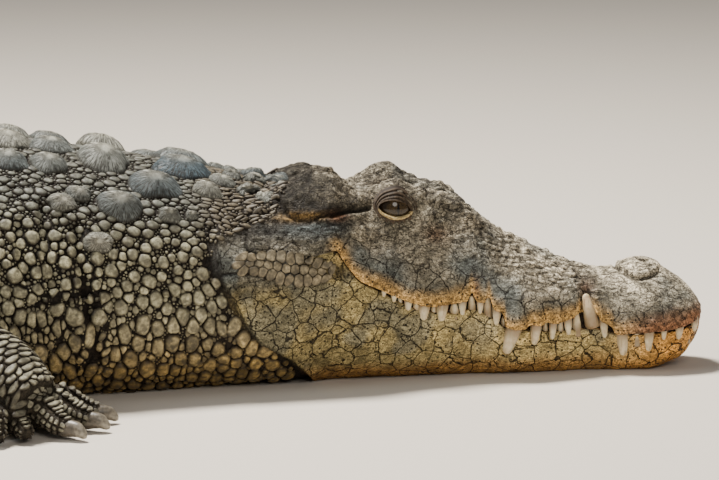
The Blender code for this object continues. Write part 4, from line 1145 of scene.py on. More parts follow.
def tooth_set(name, rows, upper):
    """All teeth of one jaw and side as one piece."""
    for sign, side in SIDES:
        points, faces, share = [], [], []
        for number, (s0, z0, s1, z1, width) in enumerate(rows):
            width *= TOOTH_FULLNESS
            if sign > 0:
                z1 += (z0 - z1) * rng.uniform(-0.06, 0.22)
                s1 += rng.uniform(-0.0012, 0.0012)
            above, below = (float(body_sizes(np.array([s0]))[k][0]) for k in (0, 1))
            if upper:
                t0 = above - 0.0010 - width * 0.46
                t1 = max(jaw_side(s1, z1) + width * 0.26, t0 - 0.002)
            elif number == FOURTH_LOWER:
                t0, t1 = below - 0.0030, above + 0.0030
            else:
                t0, t1 = below - 0.0030 - width * 0.10, min(above, below) - 0.0015 - width * 0.10
            if s0 < 0.03:
                t0, t1 = t0 * 0.93, t1 * 0.93
            first = len(points)
            points += tooth_rings((s0, t0, z0), (s1, t1, z1), width, 0.0008 if upper else -0.0006)
            faces += ring_quads(TOOTH_RINGS, TOOTH_ROUND, first, (0, 3, 2, 1)).tolist()
            faces.append([first + m for m in range(TOOTH_ROUND)][::-1])
            faces.append([first + (TOOTH_RINGS - 1) * TOOTH_ROUND + m for m in range(TOOTH_ROUND)])
            share += [r / (TOOTH_RINGS - 1) for r in range(TOOTH_RINGS) for _ in range(TOOTH_ROUND)]
        points = np.array([tuple(p) for p in points])
        points[:, 2] = np.maximum(points[:, 2], TOOTH_CLEAR)
        world_points = place(points[:, 0], points[:, 1] * sign, points[:, 2])
        piece = new_piece(f"{name}_{side}", world_points, faces)
        fix = bmesh.new()
        fix.from_mesh(piece.data)
        bmesh.ops.recalc_face_normals(fix, faces=fix.faces)
        fix.to_mesh(piece.data)
        fix.free()
        vertex_values(piece, "share", share)
        teeth_pieces.append(piece)


teeth_pieces = []
tooth_set("upper_teeth", UPPER_TEETH, True)
tooth_set("lower_teeth", LOWER_TEETH, False)

# Teeth: ivory resin, brown at the root, with faint upright cracks and a dull polish.
tooth_paint = start_paint("tooth_paint", 0.34)
streak = clouds(480.0, stretched_by(1.0, 1.0, 0.12), detail=4.0)
soft = clouds(130.0, detail=4.0)
colour = blend(spread(soft, 0.3, 0.7), (0.50, 0.38, 0.22, 1), (0.68, 0.57, 0.38, 1))
colour = blend(spread(streak, 0.58, 0.68, 0.0, 0.5), colour, (0.22, 0.15, 0.08, 1))
colour = blend(spread(stored("share"), 0.20, 0.52, 0.75, 0.0), colour, (0.17, 0.10, 0.045, 1))
put(surface_in["Base Color"], colour)
surface_in["Subsurface Weight"].default_value = 0.08
put(surface_in["Normal"], bump(streak, 0.25, 0.0004))
for piece in teeth_pieces:
    piece.data.materials.append(tooth_paint)

# ---- Scales of neck, flanks, back and tail ---------------------------------------------------
# Every scale is a separate domed shell of tough resin, pressed into the soft hide so that only the hide
# shows between, painted near black there as shade. Beads pack the neck and flanks; the back carries keeled
# plates.

LATTICE = 480
LARGEST_PIECE = 190000
CELL_NEIGHBOURS = 12
LIMB_CLEARANCE = 0.001
THROAT_FROM, TAIL_FROM, BELLY_SHARE, TILE_LAP = 0.50, 1.735, 0.17, 0.62


def lattice_side(columns):
    """The skin of one side evenly spaced from the back line to the belly line, and its half girth."""
    rows = skin_grid[:, columns]
    step = np.linalg.norm(np.diff(rows, axis=1), axis=2)
    arc = np.concatenate([np.zeros((len(rows), 1)), np.cumsum(step, axis=1)], 1)
    even = np.linspace(0, 1, LATTICE)
    points = np.stack([[np.interp(even, arc[i] / arc[i, -1], rows[i, :, k]) for k in range(3)]
                       for i in range(len(rows))]).transpose(0, 2, 1)
    return points, arc[:, -1]


lattice = {}
left_columns = np.append(0, np.arange(COLUMNS_ALL - 1, HALF_POINTS - 2, -1))
for sign, columns in ((-1, np.arange(HALF_POINTS)), (1, left_columns)):
    points, half_girth = lattice_side(columns)
    along = np.gradient(points, axis=0)
    around = np.gradient(points, axis=1)
    n = np.cross(along, around) * -sign
    n /= np.maximum(np.linalg.norm(n, axis=-1, keepdims=True), 1e-12)
    lattice[sign] = (points, n)


def on_body(sign, s, u):
    """Points and outward normals of the skin at these distances back and shares of the way down."""
    points, n = lattice[sign]
    row = np.clip(np.interp(s, ring_s, np.arange(len(ring_s))), 0, len(ring_s) - 1.001)
    col = np.clip(u * (LATTICE - 1), 0, LATTICE - 1.001)
    i, j = row.astype(int), col.astype(int)
    f, g = (row - i)[:, None], (col - j)[:, None]
    at = [a[i, j] * (1 - f) * (1 - g) + a[i + 1, j] * f * (1 - g) + a[i, j + 1] * (1 - f) * g
          + a[i + 1, j + 1] * f * g for a in (points, n)]
    return at[0], at[1] / np.linalg.norm(at[1], axis=1, keepdims=True)


def girth_at(s):
    return np.interp(s, ring_s, half_girth)


def outlines(points, along, across, long_r, wide_r, sides, gap, fill):
    """Each scale's outline as a share of its own oval, cut back half way to its neighbours."""
    tree = point_tree(points)
    wanted = min(CELL_NEIGHBOURS + 1, len(points))
    near = np.array([[hit[1] for hit in tree.find_n(p, wanted)] for p in points])[:, 1:]
    offset = points[near] - points[:, None]
    x = np.einsum("nkc,nc->nk", offset, along) / long_r[:, None]
    y = np.einsum("nkc,nc->nk", offset, across) / wide_r[:, None]
    far = np.hypot(x, y) + 1e-9
    own = np.sqrt(long_r * wide_r)
    share = own[:, None] / (own[:, None] + own[near])
    turn = 2 * np.pi * np.arange(sides) / sides
    cosine = (x[..., None] * np.cos(turn) + y[..., None] * np.sin(turn)) / far[..., None]
    limit = np.where(cosine > 0.12, (far * share)[..., None] / np.maximum(cosine, 0.12), 9.0)
    reach = np.minimum(limit.min(1), np.reshape(fill, (-1, 1)))
    softer = 0.25 * np.roll(reach, 1, 1) + 0.5 * reach + 0.25 * np.roll(reach, -1, 1)
    reach = np.minimum(reach, softer + 0.02)
    return np.maximum(reach - gap / own[:, None], 0.15), turn


def fast_mesh(name, verts, quads, tris, rounds):
    """A mesh from whole arrays of four-, three- and many-sided faces."""
    mesh = bpy.data.meshes.new(name)
    mesh.vertices.add(len(verts))
    mesh.vertices.foreach_set("co", np.ascontiguousarray(verts, dtype=np.float32).ravel())
    loops, totals = [], []
    for faces in (quads, tris, rounds):
        if len(faces):
            loops.append(faces.ravel())
            totals.append(np.full(len(faces), faces.shape[1]))
    loops, totals = np.concatenate(loops), np.concatenate(totals)
    mesh.loops.add(len(loops))
    mesh.loops.foreach_set("vertex_index", loops.astype(np.int32))
    mesh.polygons.add(len(totals))
    starts = np.concatenate([[0], np.cumsum(totals)[:-1]])
    mesh.polygons.foreach_set("loop_start", starts.astype(np.int32))
    mesh.update(calc_edges=True)
    mesh.shade_smooth()
    return mesh


# rings of a scale from its edge up: share of its width, share of its height (none: below the skin)
DOME = ((1.0, None), (1.0, 0.10), (0.94, 0.52), (0.74, 0.84), (0.42, 0.98))
UNDER_RIM = 1.3  # rim value of what lies below the skin
FLOOR_CLEARANCE = 0.0002
PATCH_RADIUS = 0.0015  # of one scale on the map of the baked colours
coat_pieces = []


def dome_faces(rings, sides):
    """Faces of one dome: between its rings, round its top, and its underside."""
    j = np.arange(sides)
    last = (rings - 1) * sides
    top = np.stack([last + j, last + (j + 1) % sides, np.full(sides, last + sides)], 1)
    return ring_quads(rings, sides, 0, (0, 3, 2, 1)), top, j[::-1][None, :]


def coat_piece(name, mesh, tint, rim, uv, local=None):
    """One piece of the coat, with what its paint reads at each vertex."""
    piece = add_object(name, mesh)
    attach(piece, "root")
    vertex_values(piece, "tint", tint)
    vertex_values(piece, "rim", rim)
    if local is not None:
        vertex_values(piece, "local", local)
    bake_map(mesh, uv)
    coat_pieces.append(piece)


def scales(name, points, normals_, along, long_r, wide_r, height, tint, uv, sides=12, gap=0.0005,
           rings=DOME, sunk=0.0016, tilt=0.0, fill=1.12, edge=1.0):
    """Domed scales at the given places, joined into pieces."""
    across = np.cross(normals_, along)
    across /= np.linalg.norm(across, axis=1, keepdims=True)
    along = np.cross(across, normals_)
    reach, turn = outlines(points, along, across, long_r, wide_r, sides, gap, fill)
    x = reach * np.cos(turn) * long_r[:, None]
    y = reach * np.sin(turn) * wide_r[:, None]
    lean = 1 + tilt * np.cos(turn)[None, :]
    top = np.zeros((len(points), 1))
    px, py = (np.hstack([v * f for f, _ in rings] + [top]) for v in (x, y))
    pz = np.hstack([np.full(x.shape, -sunk) if g is None else height[:, None] * g * lean
                    for _, g in rings] + [height[:, None]])
    base = points[:, None] + along[:, None] * px[..., None] + across[:, None] * py[..., None]
    verts = base + normals_[:, None] * pz[..., None]
    verts[..., 2] = np.maximum(verts[..., 2], FLOOR_CLEARANCE)
    faces = dome_faces(len(rings), sides)
    per = len(rings) * sides + 1
    rim = np.append(np.repeat([f * (UNDER_RIM if g is None else edge) for f, g in rings], sides), 0)
    triangles = sides * (2 * len(rings) - 1) + sides - 2
    limit = LARGEST_PIECE // triangles
    for number, start in enumerate(range(0, len(points), limit)):
        pick = slice(start, start + limit)
        n = len(points[pick])
        shift = (np.arange(n) * per)[:, None, None]
        mesh = fast_mesh(name, verts[pick].reshape(-1, 3),
                         *((f[None] + shift).reshape(-1, f.shape[1]) for f in faces))
        share = np.stack([px[pick] / long_r[pick, None], py[pick] / wide_r[pick, None]], -1)
        patch = uv[pick][:, None] + PATCH_RADIUS * share
        coat_piece(f"{name}_{number + 1}", mesh, np.repeat(tint[pick], per, 0), np.tile(rim, n),
                   patch.reshape(-1, 2))


def along_body(sign, s, u):
    """The direction from head to tail on the skin."""
    return on_body(sign, s + 0.004, u)[0] - on_body(sign, s - 0.004, u)[0]


def signed_far(tree, points):
    """Distance of points outside a closed form; negative inside it."""
    result = np.full(len(points), 1.0)
    for k, p in enumerate(points):
        q, n, _, far = tree.find_nearest(p)
        result[k] = far if (Vector(p) - q).dot(n) > 0 else -far
    return result


SEAT_CELL = 0.020


def crowded(seats, s, v, a, b, tight):
    for s2, v2, a2, b2 in seats:
        dx, dy = (s - s2) / (a + a2), (v - v2) / (b + b2)
        if dx * dx + dy * dy < tight * tight:
            return True
    return False


def scatter(seed, count, low, high, radii, seats, tight):
    """Random places (distance, share down the side) whose ovals hardly overlap; seats gains them."""
    random = np.random.default_rng(seed)
    s = random.uniform(low[0], high[0], count)
    u = random.uniform(low[1], high[1], count)
    rs, rv = radii(s, u)
    keep = rs > 0
    s, u, rs, rv = s[keep], u[keep], rs[keep], rv[keep]
    v = u * girth_at(s)
    chosen = []
    for k, (sk, vk, a, b) in enumerate(zip(s, v, rs, rv)):
        ci, cj = int(sk // SEAT_CELL), int(vk // SEAT_CELL)
        near = (seats.get((i, j), ()) for i in (ci - 1, ci, ci + 1) for j in (cj - 1, cj, cj + 1))
        if not any(crowded(seat, sk, vk, a, b, tight) for seat in near):
            seats.setdefault((ci, cj), []).append((sk, vk, a, b))
            chosen.append(k)
    return s[chosen], u[chosen], rs[chosen], rv[chosen]


NECK_PALE, NECK_OCHRE, NECK_GREY = srgb(170, 165, 136), srgb(158, 132, 78), srgb(104, 106, 98)
NAPE_TAN = srgb(104, 90, 70)
FLANK_DARK, BELLY_CREAM, BACK_OLIVE = srgb(84, 80, 66), srgb(196, 178, 128), srgb(104, 101, 84)


def own_number(s, u, fine, seed, layer=0):
    """Each scale's own even random number, from its place."""
    cell = [(s * fine).astype(int), (u * fine).astype(int), np.full(len(s), layer)]
    return hashed(np.stack(cell, -1), seed)


def coat_colour(s, u, points, seed):
    """Colour of scales by place: grey above, pale beads below them, cream belly, dark blotches."""
    low = smooth(u, 0.50, 0.74)
    colour = mix(mix(NECK_GREY, NECK_PALE, smooth(u, 0.26, 0.42)), NECK_OCHRE, low)
    trunk = smooth(s, 0.85, 1.15)
    olive = mix(BACK_OLIVE, BELLY_CREAM, smooth(u, 0.45, 0.80))
    colour = mix(colour, olive, trunk)
    colour = mix(colour, NAPE_TAN, 0.7 * (1 - smooth(s, 0.53, 0.58)) * (1 - smooth(u, 0.40, 0.55)))
    blotch = smooth(noise(points, 0.055, seed, 2), 0.12, 0.42) * (1 - smooth(u, 0.62, 0.85))
    colour = mix(colour, FLANK_DARK, 0.75 * blotch * trunk + 0.25 * blotch * (1 - trunk))
    return colour * (0.66 + 0.52 * own_number(s, u, 9e3, 2, seed))[:, None]


def bead_size(s, u):
    """Half sizes of the large beads along and round the body; none where the plates lie."""
    near_head = 1 - smooth(s, 0.53, 0.62)
    high = 1 - smooth(u, 0.28, 0.42)
    low = smooth(u, 0.46, 0.62)
    trunk = smooth(s, 0.80, 1.05)
    long_r = (0.0068 - 0.0014 * near_head - 0.0006 * high * (1 - near_head) + 0.0012 * low
              + 0.0012 * trunk)
    wide_r = (0.0068 - 0.0014 * near_head - 0.0024 * high * (1 + 0.3 * near_head) + 0.0012 * trunk
              + 0.0062 * low * (1 - 0.35 * near_head - 0.30 * trunk))
    vary = 0.70 + 0.18 * low + (0.52 - 0.30 * low) * own_number(s, u, 7e4, 3)
    return long_r * vary, wide_r * vary


def small_size(s, u):
    a, b = bead_size(s, u)
    share = 0.40 + 0.04 * smooth(u, 0.46, 0.62)
    return np.maximum(a * share, 0.0018), np.maximum(b * share, 0.0019)


GRIT_RADIUS = 0.00135


def grit_size(s, u):
    """Half sizes of the grit that fills the last gaps of the neck."""
    return np.full(len(s), GRIT_RADIUS), np.full(len(s), GRIT_RADIUS)


# plates of the nape on one side: distance, sideways, half length, half width, height, keel
NAPE_PLATES = (
    (0.573, 0.029, 0.034, 0.024, 0.004, 0.012), (0.604, 0.072, 0.030, 0.021, 0.004, 0.013),
    (0.642, 0.105, 0.027, 0.019, 0.004, 0.012), (0.657, 0.041, 0.031, 0.026, 0.005, 0.015),
    (0.548, 0.066, 0.018, 0.012, 0.003, 0.010), (0.590, 0.103, 0.013, 0.010, 0.003, 0.009),
    (0.566, 0.098, 0.008, 0.006, 0.002, 0.005), (0.530, 0.040, 0.016, 0.011, 0.003, 0.006),
    (0.494, 0.017, 0.015, 0.011, 0.004, 0.006), (0.503, 0.048, 0.015, 0.010, 0.003, 0.006),
    (0.464, 0.034, 0.015, 0.014, 0.002, 0.003), (0.473, 0.008, 0.011, 0.008, 0.002, 0.003),
    (0.487, 0.064, 0.011, 0.009, 0.002, 0.004),
    (0.519, 0.017, 0.013, 0.009, 0.003, 0.006),
    (0.712, 0.024, 0.025, 0.020, 0.004, 0.009), (0.716, 0.070, 0.022, 0.017, 0.004, 0.009),
    (0.757, 0.026, 0.025, 0.022, 0.004, 0.010), (0.760, 0.077, 0.024, 0.019, 0.004, 0.009),
    (0.686, 0.104, 0.014, 0.011, 0.005, 0.004), (0.705, 0.118, 0.018, 0.012, 0.005, 0.004),
    (0.668, 0.138, 0.019, 0.012, 0.004, 0.003),
)
# beads, grains and grit: seed, tries, where they end along and round, half sizes, closeness
SOWING = ((31, 36000, (1.74, 0.83), bead_size, 0.88), (51, 52000, (1.74, 0.83), small_size, 0.84),
          (71, 40000, (0.86, 0.70), grit_size, 0.92))
LARGE_BEAD, GRAIN = 0.0030, ((1.0, None), (0.96, 0.30), (0.60, 0.88))
BACK_ROWS, BACK_PITCH, BACK_FIRST = 17, 0.0525, 0.803
BACK_COLUMNS = (0.075, 0.215, 0.345)  # shares of the way down the side
BACK_LONG, BACK_WIDE, BACK_HEIGHT, BACK_KEEL = 0.0255, 0.062, 0.0055, 0.0075
BACK_BAND, TAIL_BAND = 0.155, 0.17  # pitch of the dark bands
NAPE_CREST, BACK_CREST = 0.30, 0.05  # place of the keel across a plate


def share_at(sign, s, t):
    """Share of the way down the side at which the skin lies this far from the spine."""
    points, _ = lattice[sign]
    row = int(np.clip(np.interp(s, ring_s, np.arange(len(ring_s))), 0, len(ring_s) - 1))
    middle = np.array([np.interp(s, spine_s, spine_x), np.interp(s, spine_s, spine_y)])
    far = np.hypot(*(points[row, :LATTICE // 2, :2] - middle).T)
    return float(np.interp(t, far, np.linspace(0, 1, LATTICE)[:LATTICE // 2]))


skin_tree = surface(hide_mesh)
PLATE_GREY, PLATE_WORN = srgb(82, 92, 96), srgb(178, 172, 152)
PLATE_RINGS = (1.06, 1.0, 0.95, 0.86, 0.74, 0.60, 0.44, 0.26)
PLATE_SUNK = 0.003


def plate_shells(name, sign, rows, colour, crest, sides):
    """Keeled plates as one piece: each rises in a long face from its outer edge to a blunt crest
    on the side of the spine, then drops steeply."""
    s, u, long_r, wide_r, height, keel = np.array(rows).T
    points, n = on_body(sign, s, u)
    flow = along_body(sign, s, u)
    inward = on_body(sign, s, np.maximum(u - 0.01, 0.0))[0] - points
    across = np.cross(n, flow)
    across /= np.linalg.norm(across, axis=1, keepdims=True)
    across *= np.where((inward * across).sum(1, keepdims=True) >= 0, 1.0, -1.0)
    flow = flow - n * (flow * n).sum(1, keepdims=True)
    flow /= np.linalg.norm(flow, axis=1, keepdims=True)
    random = np.random.default_rng(17 + len(s))
    turn = 2 * np.pi * np.arange(sides) / sides
    outline = np.ones((len(s), sides))
    for wave, amount in ((2, 0.05), (3, 0.05), (4, 0.035), (5, 0.03), (7, 0.02)):
        phase = random.uniform(0, 2 * np.pi, (len(s), 1))
        outline += amount * np.sin(wave * turn[None, :] + phase)
    outline *= (np.abs(np.cos(turn)) ** 2.6 + np.abs(np.sin(turn)) ** 2.6) ** (-1 / 2.6) * 0.96
    rings = np.append(np.repeat(PLATE_RINGS, sides), 0.0)
    fan = np.append(np.tile(turn, len(PLATE_RINGS)), 0.0)
    outline = np.concatenate([np.tile(outline, len(PLATE_RINGS)), np.ones((len(s), 1))], 1)
    x = rings * np.cos(fan) * outline
    y = rings * np.sin(fan) * outline
    face = np.clip((y + 1) / (crest + 1), 0, 1) ** 0.85
    drop = np.clip((1 - y) / (1 - crest), 0, 1) ** 0.7
    ridge = np.minimum(face, drop) * np.clip(1 - np.abs(x - 0.15) ** 2.2, 0, 1) ** 0.8
    shell = np.clip(1 - np.clip(rings, 0, 1) ** 5, 0, 1)
    rise = height[:, None] * shell ** 0.6 + keel[:, None] * ridge * shell ** 0.5
    striae = 0.00035 * np.sin(fan * 11 + 2.2 * np.sin(3 * fan) + s[:, None] * 900)
    rise = rise + striae * (rings > 0.3) * (rings < 0.99)
    rise = np.where(rings > 1.01, -PLATE_SUNK, rise)
    px, py = x * long_r[:, None], y * wide_r[:, None]
    base = points[:, None] + flow[:, None] * px[..., None] + across[:, None] * py[..., None]
    flat = base.reshape(-1, 3)
    seat, out = np.zeros_like(flat), np.zeros_like(flat)
    for k, p in enumerate(flat):
        hit = skin_tree.find_nearest(p)
        seat[k], out[k] = hit[0], hit[1]
    out = 0.35 * out.reshape(base.shape) + 0.65 * n[:, None]
    out /= np.linalg.norm(out, axis=-1, keepdims=True)
    verts = seat.reshape(base.shape) + out * rise[..., None]
    # the outline turns the other way where the plate's two directions were mirrored
    turned = ((np.cross(flow, across) * n).sum(1) < 0)[:, None, None]
    shift = (np.arange(len(s)) * len(rings))[:, None, None]
    parts = []
    for faces in dome_faces(len(PLATE_RINGS), sides):
        whole = faces[None] + shift
        whole = np.where(turned, whole[..., ::-1], whole)
        parts.append(whole.reshape(-1, faces.shape[1]))
    mesh = fast_mesh(name, verts.reshape(-1, 3), *parts)
    worn = smooth(rise / (height + keel)[:, None], 0.62, 1.0)[..., None]
    scuffed = PLATE_WORN * np.where(s < 0.79, 0.60, 0.30)[:, None, None]
    tone = colour[:, None] * (1 - 0.75 * worn) + (colour[:, None] * 0.5 + scuffed) * 0.75 * worn
    patch = body_uv(sign, s, u)[:, None] + PATCH_RADIUS * np.stack([x, y], -1) / 1.2
    coat_piece(name, mesh, tone.reshape(-1, 3), np.tile(np.where(rings > 1.01, UNDER_RIM, rings), len(s)),
               patch.reshape(-1, 2), np.stack([px, py, np.zeros_like(px)], -1).reshape(-1, 3))


for sign, side in SIDES:
    plates = [(s, share_at(sign, s, t), a, b, h, k) for s, t, a, b, h, k in NAPE_PLATES]
    if sign > 0:
        random = np.random.default_rng(8)
        plates = [(s + random.uniform(-0.003, 0.003), u, a * random.uniform(0.94, 1.06), b, h, k)
                  for s, u, a, b, h, k in plates]
    for row in range(BACK_ROWS):
        s = BACK_FIRST + BACK_PITCH * row
        narrow = 1 - 0.25 * float(smooth(s, 1.45, 1.70))
        for column, u in enumerate(BACK_COLUMNS):
            wide = BACK_WIDE * float(girth_at(s)) * narrow
            keel = BACK_KEEL - 0.001 * column + 0.0012 * math.sin(row * 2.1 + column)
            plates.append((s + 0.010 * (column == 1), u * narrow, BACK_LONG, wide, BACK_HEIGHT, keel))
    s, u, a, b, h, k = np.array(plates).T
    points, n = on_body(sign, s, u)
    colour = mix(PLATE_GREY, PLATE_WORN, 0.25 + 0.35 * noise(points, 0.03, 5, 1))
    back = smooth(s, 0.78, 0.95)
    band = smooth(np.sin(s * 2 * np.pi / BACK_BAND + 1.5 * u), 0.1, 0.7)
    colour = mix(colour, mix(BACK_OLIVE * 1.1, FLANK_DARK * 0.8, band), back)
    nape = len(NAPE_PLATES)
    plate_shells(f"nape_plates_{side}", sign, plates[:nape], colour[:nape], NAPE_CREST, 44)
    plate_shells(f"back_plates_{side}", sign, plates[nape:], colour[nape:], BACK_CREST, 24)
    seats = {}
    for sk, uk, ak, bk in zip(s, u, a, b):
        vk = uk * float(girth_at(sk))
        for ci in range(-2, 3):
            for cj in range(-2, 3):
                cell = (int(sk // SEAT_CELL) + ci, int(vk // SEAT_CELL) + cj)
                seats.setdefault(cell, []).append((sk, vk, ak * 0.96, bk * 0.96))
    many = 1.0 if sign < 0 else 0.7
    sown = [scatter(seed + sign, int(tries * many), (0.448, 0.0), end, size, seats, tight)
            for seed, tries, end, size, tight in SOWING]
    s, u, rs, rv = (np.concatenate(v) for v in zip(*sown))
    points, n = on_body(sign, s, u)
    behind = behind_face(s, points[:, 2]) - 0.004 * (points[:, 2] < 0.165)
    in_crease = distance_to_line(s, points[:, 2], NECK_CREASES[0]) < 0.0020
    keep = (behind > rs) & ~in_crease & (signed_far(limb_tree, points) > LIMB_CLEARANCE)
    s, u, rs, rv, points, n = (v[keep] for v in (s, u, rs, rv, points, n))
    flow = along_body(sign, s, u)
    large = rs > LARGE_BEAD
    colour = coat_colour(s, u, points, 61) * np.where(large, 1.0, 0.62)[:, None]
    across = np.minimum(rs, rv)
    height = np.where(large, 0.36 * across + 0.0012, 0.30 * across + 0.0006)
    fill = 1.12 + 0.30 * np.maximum(smooth(u, 0.42, 0.60), 1 - smooth(s, 0.53, 0.60))
    uv = body_uv(sign, s, u)
    for label, pick, sides, rings in (("beads", large, 12, DOME), ("grains", ~large, 7, GRAIN)):
        scales(f"flank_{label}_{side}", points[pick], n[pick], flow[pick], rs[pick] * 1.06,
               rv[pick] * 1.06, height[pick], colour[pick], uv[pick], sides=sides, gap=0.00045,
               rings=rings, fill=fill[pick])

    # belly tiles in even rows across, from the throat to the tail
    tiles = []
    s_at = THROAT_FROM
    while s_at < TAIL_FROM:
        width = BELLY_SHARE * float(girth_at(s_at))
        pitch = 0.011 + 0.013 * float(smooth(s_at, 0.52, 0.95))
        columns = max(3, int(width / (pitch * 0.95)))
        for column in range(columns):
            u = 1 - BELLY_SHARE + BELLY_SHARE * (column + 0.5) / columns
            tiles.append((s_at, u, pitch * TILE_LAP, width / columns * TILE_LAP))
        s_at += pitch
    s, u, rs, rv = np.array(tiles).T
    points, n = on_body(sign, s, u)
    keep = (behind_line(s, points[:, 2]) > 0.006) & (signed_far(limb_tree, points) > LIMB_CLEARANCE)
    s, u, rs, rv, points, n = (v[keep] for v in (s, u, rs, rv, points, n))
    colour = mix(coat_colour(s, u, points, 61), BELLY_CREAM, 0.5)
    scales(f"belly_tiles_{side}", points, n, along_body(sign, s, u), rs, rv,
           np.full(len(s), 0.0018), colour, body_uv(sign, s, u), sides=12, gap=0.0006,
           rings=((1.0, None), (1.0, 0.3), (0.88, 0.85), (0.5, 1.0)))

# Cheek: three rows of small flat tiles in the pocket behind the corner of the mouth.
for sign, side in SIDES:
    tiles = []
    for row in range(TILE_ROWS):
        for s_at in np.arange(TILE_FROM + 0.4 * TILE_LENGTH * (row % 2), TILE_TO, TILE_LENGTH):
            s_at += 0.0012 * math.sin(s_at * 700 + row * 2)
            high, low = (float(np.interp(s_at, *np.array(FOLDS[k][2][::-1]).T)) for k in (0, 1))
            tall = (high - low - 0.0025) / TILE_ROWS
            if tall < 0.0034:
                continue
            z = high - 0.0012 - tall * (row + 0.5)
            points = lattice[sign][0][int(np.searchsorted(ring_s, s_at)), LATTICE // 8:, 2]
            u = float(np.interp(-z, np.maximum.accumulate(-points), np.linspace(0.125, 1, len(points))))
            tiles.append((s_at, u, TILE_LENGTH * 0.60, tall * 0.64))
    s, u, rs, rv = np.array(tiles).T
    points, n = on_body(sign, s, u)
    colour = TILE_PALE * (0.38 + 0.34 * own_number(s, u, 9e3, 6))[:, None]
    scales(f"cheek_tiles_{side}", points, n, along_body(sign, s, u), rs, rv,
           np.full(len(s), 0.0011), colour, body_uv(sign, s, u), sides=16, gap=0.00022, fill=1.7, edge=0.86,
           rings=((1.0, None), (1.0, 0.40), (0.94, 0.85), (0.75, 1.0)))

# Tail: rings of oblong scales, and a saw-backed crest that is double to the middle of the tail
# and single from there on. Each crest scale is a thin leaning blade.
CREST_PITCH, RINGS_TO = 0.043, 3.235
CREST_FROM, CREST_JOIN, CREST_TO = 1.78, 2.50, 3.215
for sign, side in SIDES:
    tiles = []
    s_at, row = TAIL_FROM + 0.012, 0
    while s_at < RINGS_TO:
        pitch = CREST_PITCH / 2 * (1 - 0.35 * float(smooth(s_at, 2.7, 3.2)))
        girth = float(girth_at(s_at))
        first = 0.10 + 0.05 * float(smooth(s_at, 2.3, 2.6))
        columns = max(3, int((1 - first) * girth / (pitch * 1.02)))
        for column in range(columns):
            u = first + (1 - first) * (column + 0.5) / columns
            tiles.append((s_at, u, pitch * 0.66, (1 - first) * girth / columns * 0.66, row % 2))
        s_at += pitch
        row += 1
    s, u, rs, rv, odd = np.array(tiles).T
    points, n = on_body(sign, s, u)
    keep = signed_far(limb_tree, points) > LIMB_CLEARANCE
    s, u, rs, rv, odd, points, n = (v[keep] for v in (s, u, rs, rv, odd, points, n))
    upper = 1 - smooth(u, 0.35, 0.8)
    band = smooth(np.sin((s - 1.7) * 2 * np.pi / TAIL_BAND + 0.6 * np.sin(u * 9)), -0.1, 0.5)
    colour = mix(mix(BELLY_CREAM, BACK_OLIVE * 1.25, 0.35 + 0.5 * upper), FLANK_DARK * 0.55,
                 band * (0.25 + 0.65 * upper))
    colour *= (0.85 + 0.3 * own_number(s, u, 9e3, 4))[:, None]
    scales(f"tail_rings_{side}", points, n, along_body(sign, s, u), rs, rv, np.full(len(s), 0.0020),
           colour, body_uv(sign, s, u), sides=12, gap=0.0006, tilt=0.25,
           rings=((1.0, None), (1.0, 0.35), (0.86, 0.85), (0.5, 1.0)))

BLADE_STEPS, BLADE_SIDES = 9, 16


def blades(name, seats):
    """Leaning crest blades: each a lens in plan that narrows to a blunt upper edge."""
    verts, tint, local, uv = [], [], [], []
    for sign, s, u, long_r, tall, thick in seats:
        at, n = (v[0] for v in on_body(sign, np.array([s]), np.array([u])))
        flow = along_body(sign, np.array([s]), np.array([u]))[0]
        flow /= np.linalg.norm(flow)
        up = np.array([n[0] * 0.25, n[1] * 0.25, 1.0])
        up /= np.linalg.norm(up)
        across = np.cross(up, flow)
        for r in range(BLADE_STEPS):
            k = r / (BLADE_STEPS - 1)
            wide = 1 - k ** 1.6 * 0.86
            back = long_r * (0.10 + 0.80 * k ** 1.3) * 0.62
            for m in range(BLADE_SIDES):
                turn = 2 * math.pi * m / BLADE_SIDES
                x = math.cos(turn) * long_r * wide + back
                y = math.sin(turn) * thick * (1 - 0.80 * k)
                verts.append(at + flow * x + across * y + up * (tall * k - 0.004))
                local.append((x, y, k))
                way = np.array([math.cos(turn), math.sin(turn)])
                uv.append(body_uv(sign, s, u) + PATCH_RADIUS * way * (1 - 0.5 * k))
        dark = smooth(math.sin((s - 1.7) * 2 * math.pi / TAIL_BAND), -0.1, 0.5)
        tint += [mix(BACK_OLIVE * 1.1, FLANK_DARK * 0.6, dark)] * (BLADE_STEPS * BLADE_SIDES)
    firsts = range(0, len(verts), BLADE_STEPS * BLADE_SIDES)
    quads = [ring_quads(BLADE_STEPS, BLADE_SIDES, first, (0, 3, 2, 1)) for first in firsts]
    j, last = np.arange(BLADE_SIDES), (BLADE_STEPS - 1) * BLADE_SIDES
    rounds = [ends for first in firsts for ends in ((first + j)[::-1], first + last + j)]
    mesh = fast_mesh(name, np.array(verts), np.concatenate(quads), [], np.array(rounds))
    local = np.array(local)
    coat_piece(name, mesh, np.array(tint), 0.3 + 0.5 * (1 - local[:, 2]), np.array(uv), local)


seats = []
s_at = CREST_FROM
while s_at < CREST_TO:
    if s_at < CREST_JOIN:
        grown = (s_at - CREST_FROM) / (CREST_JOIN - CREST_FROM)
        tall = 0.012 + 0.030 * grown
        for sign in (-1, 1):
            apart = (0.50 - 0.20 * grown) * float(monotone(SECTIONS[:, (0, 1)], np.array([s_at]))[0])
            seats.append((sign, s_at, share_at(sign, s_at, apart * 0.86), 0.0205, tall, 0.0065))
    else:
        grown = (s_at - CREST_JOIN) / (CREST_TO - CREST_JOIN)
        seats.append((-1, s_at, 0.0, 0.0200 - 0.008 * grown, 0.046 - 0.026 * grown,
                      0.0058 - 0.003 * grown))
    s_at += CREST_PITCH
blades("tail_crest", seats)

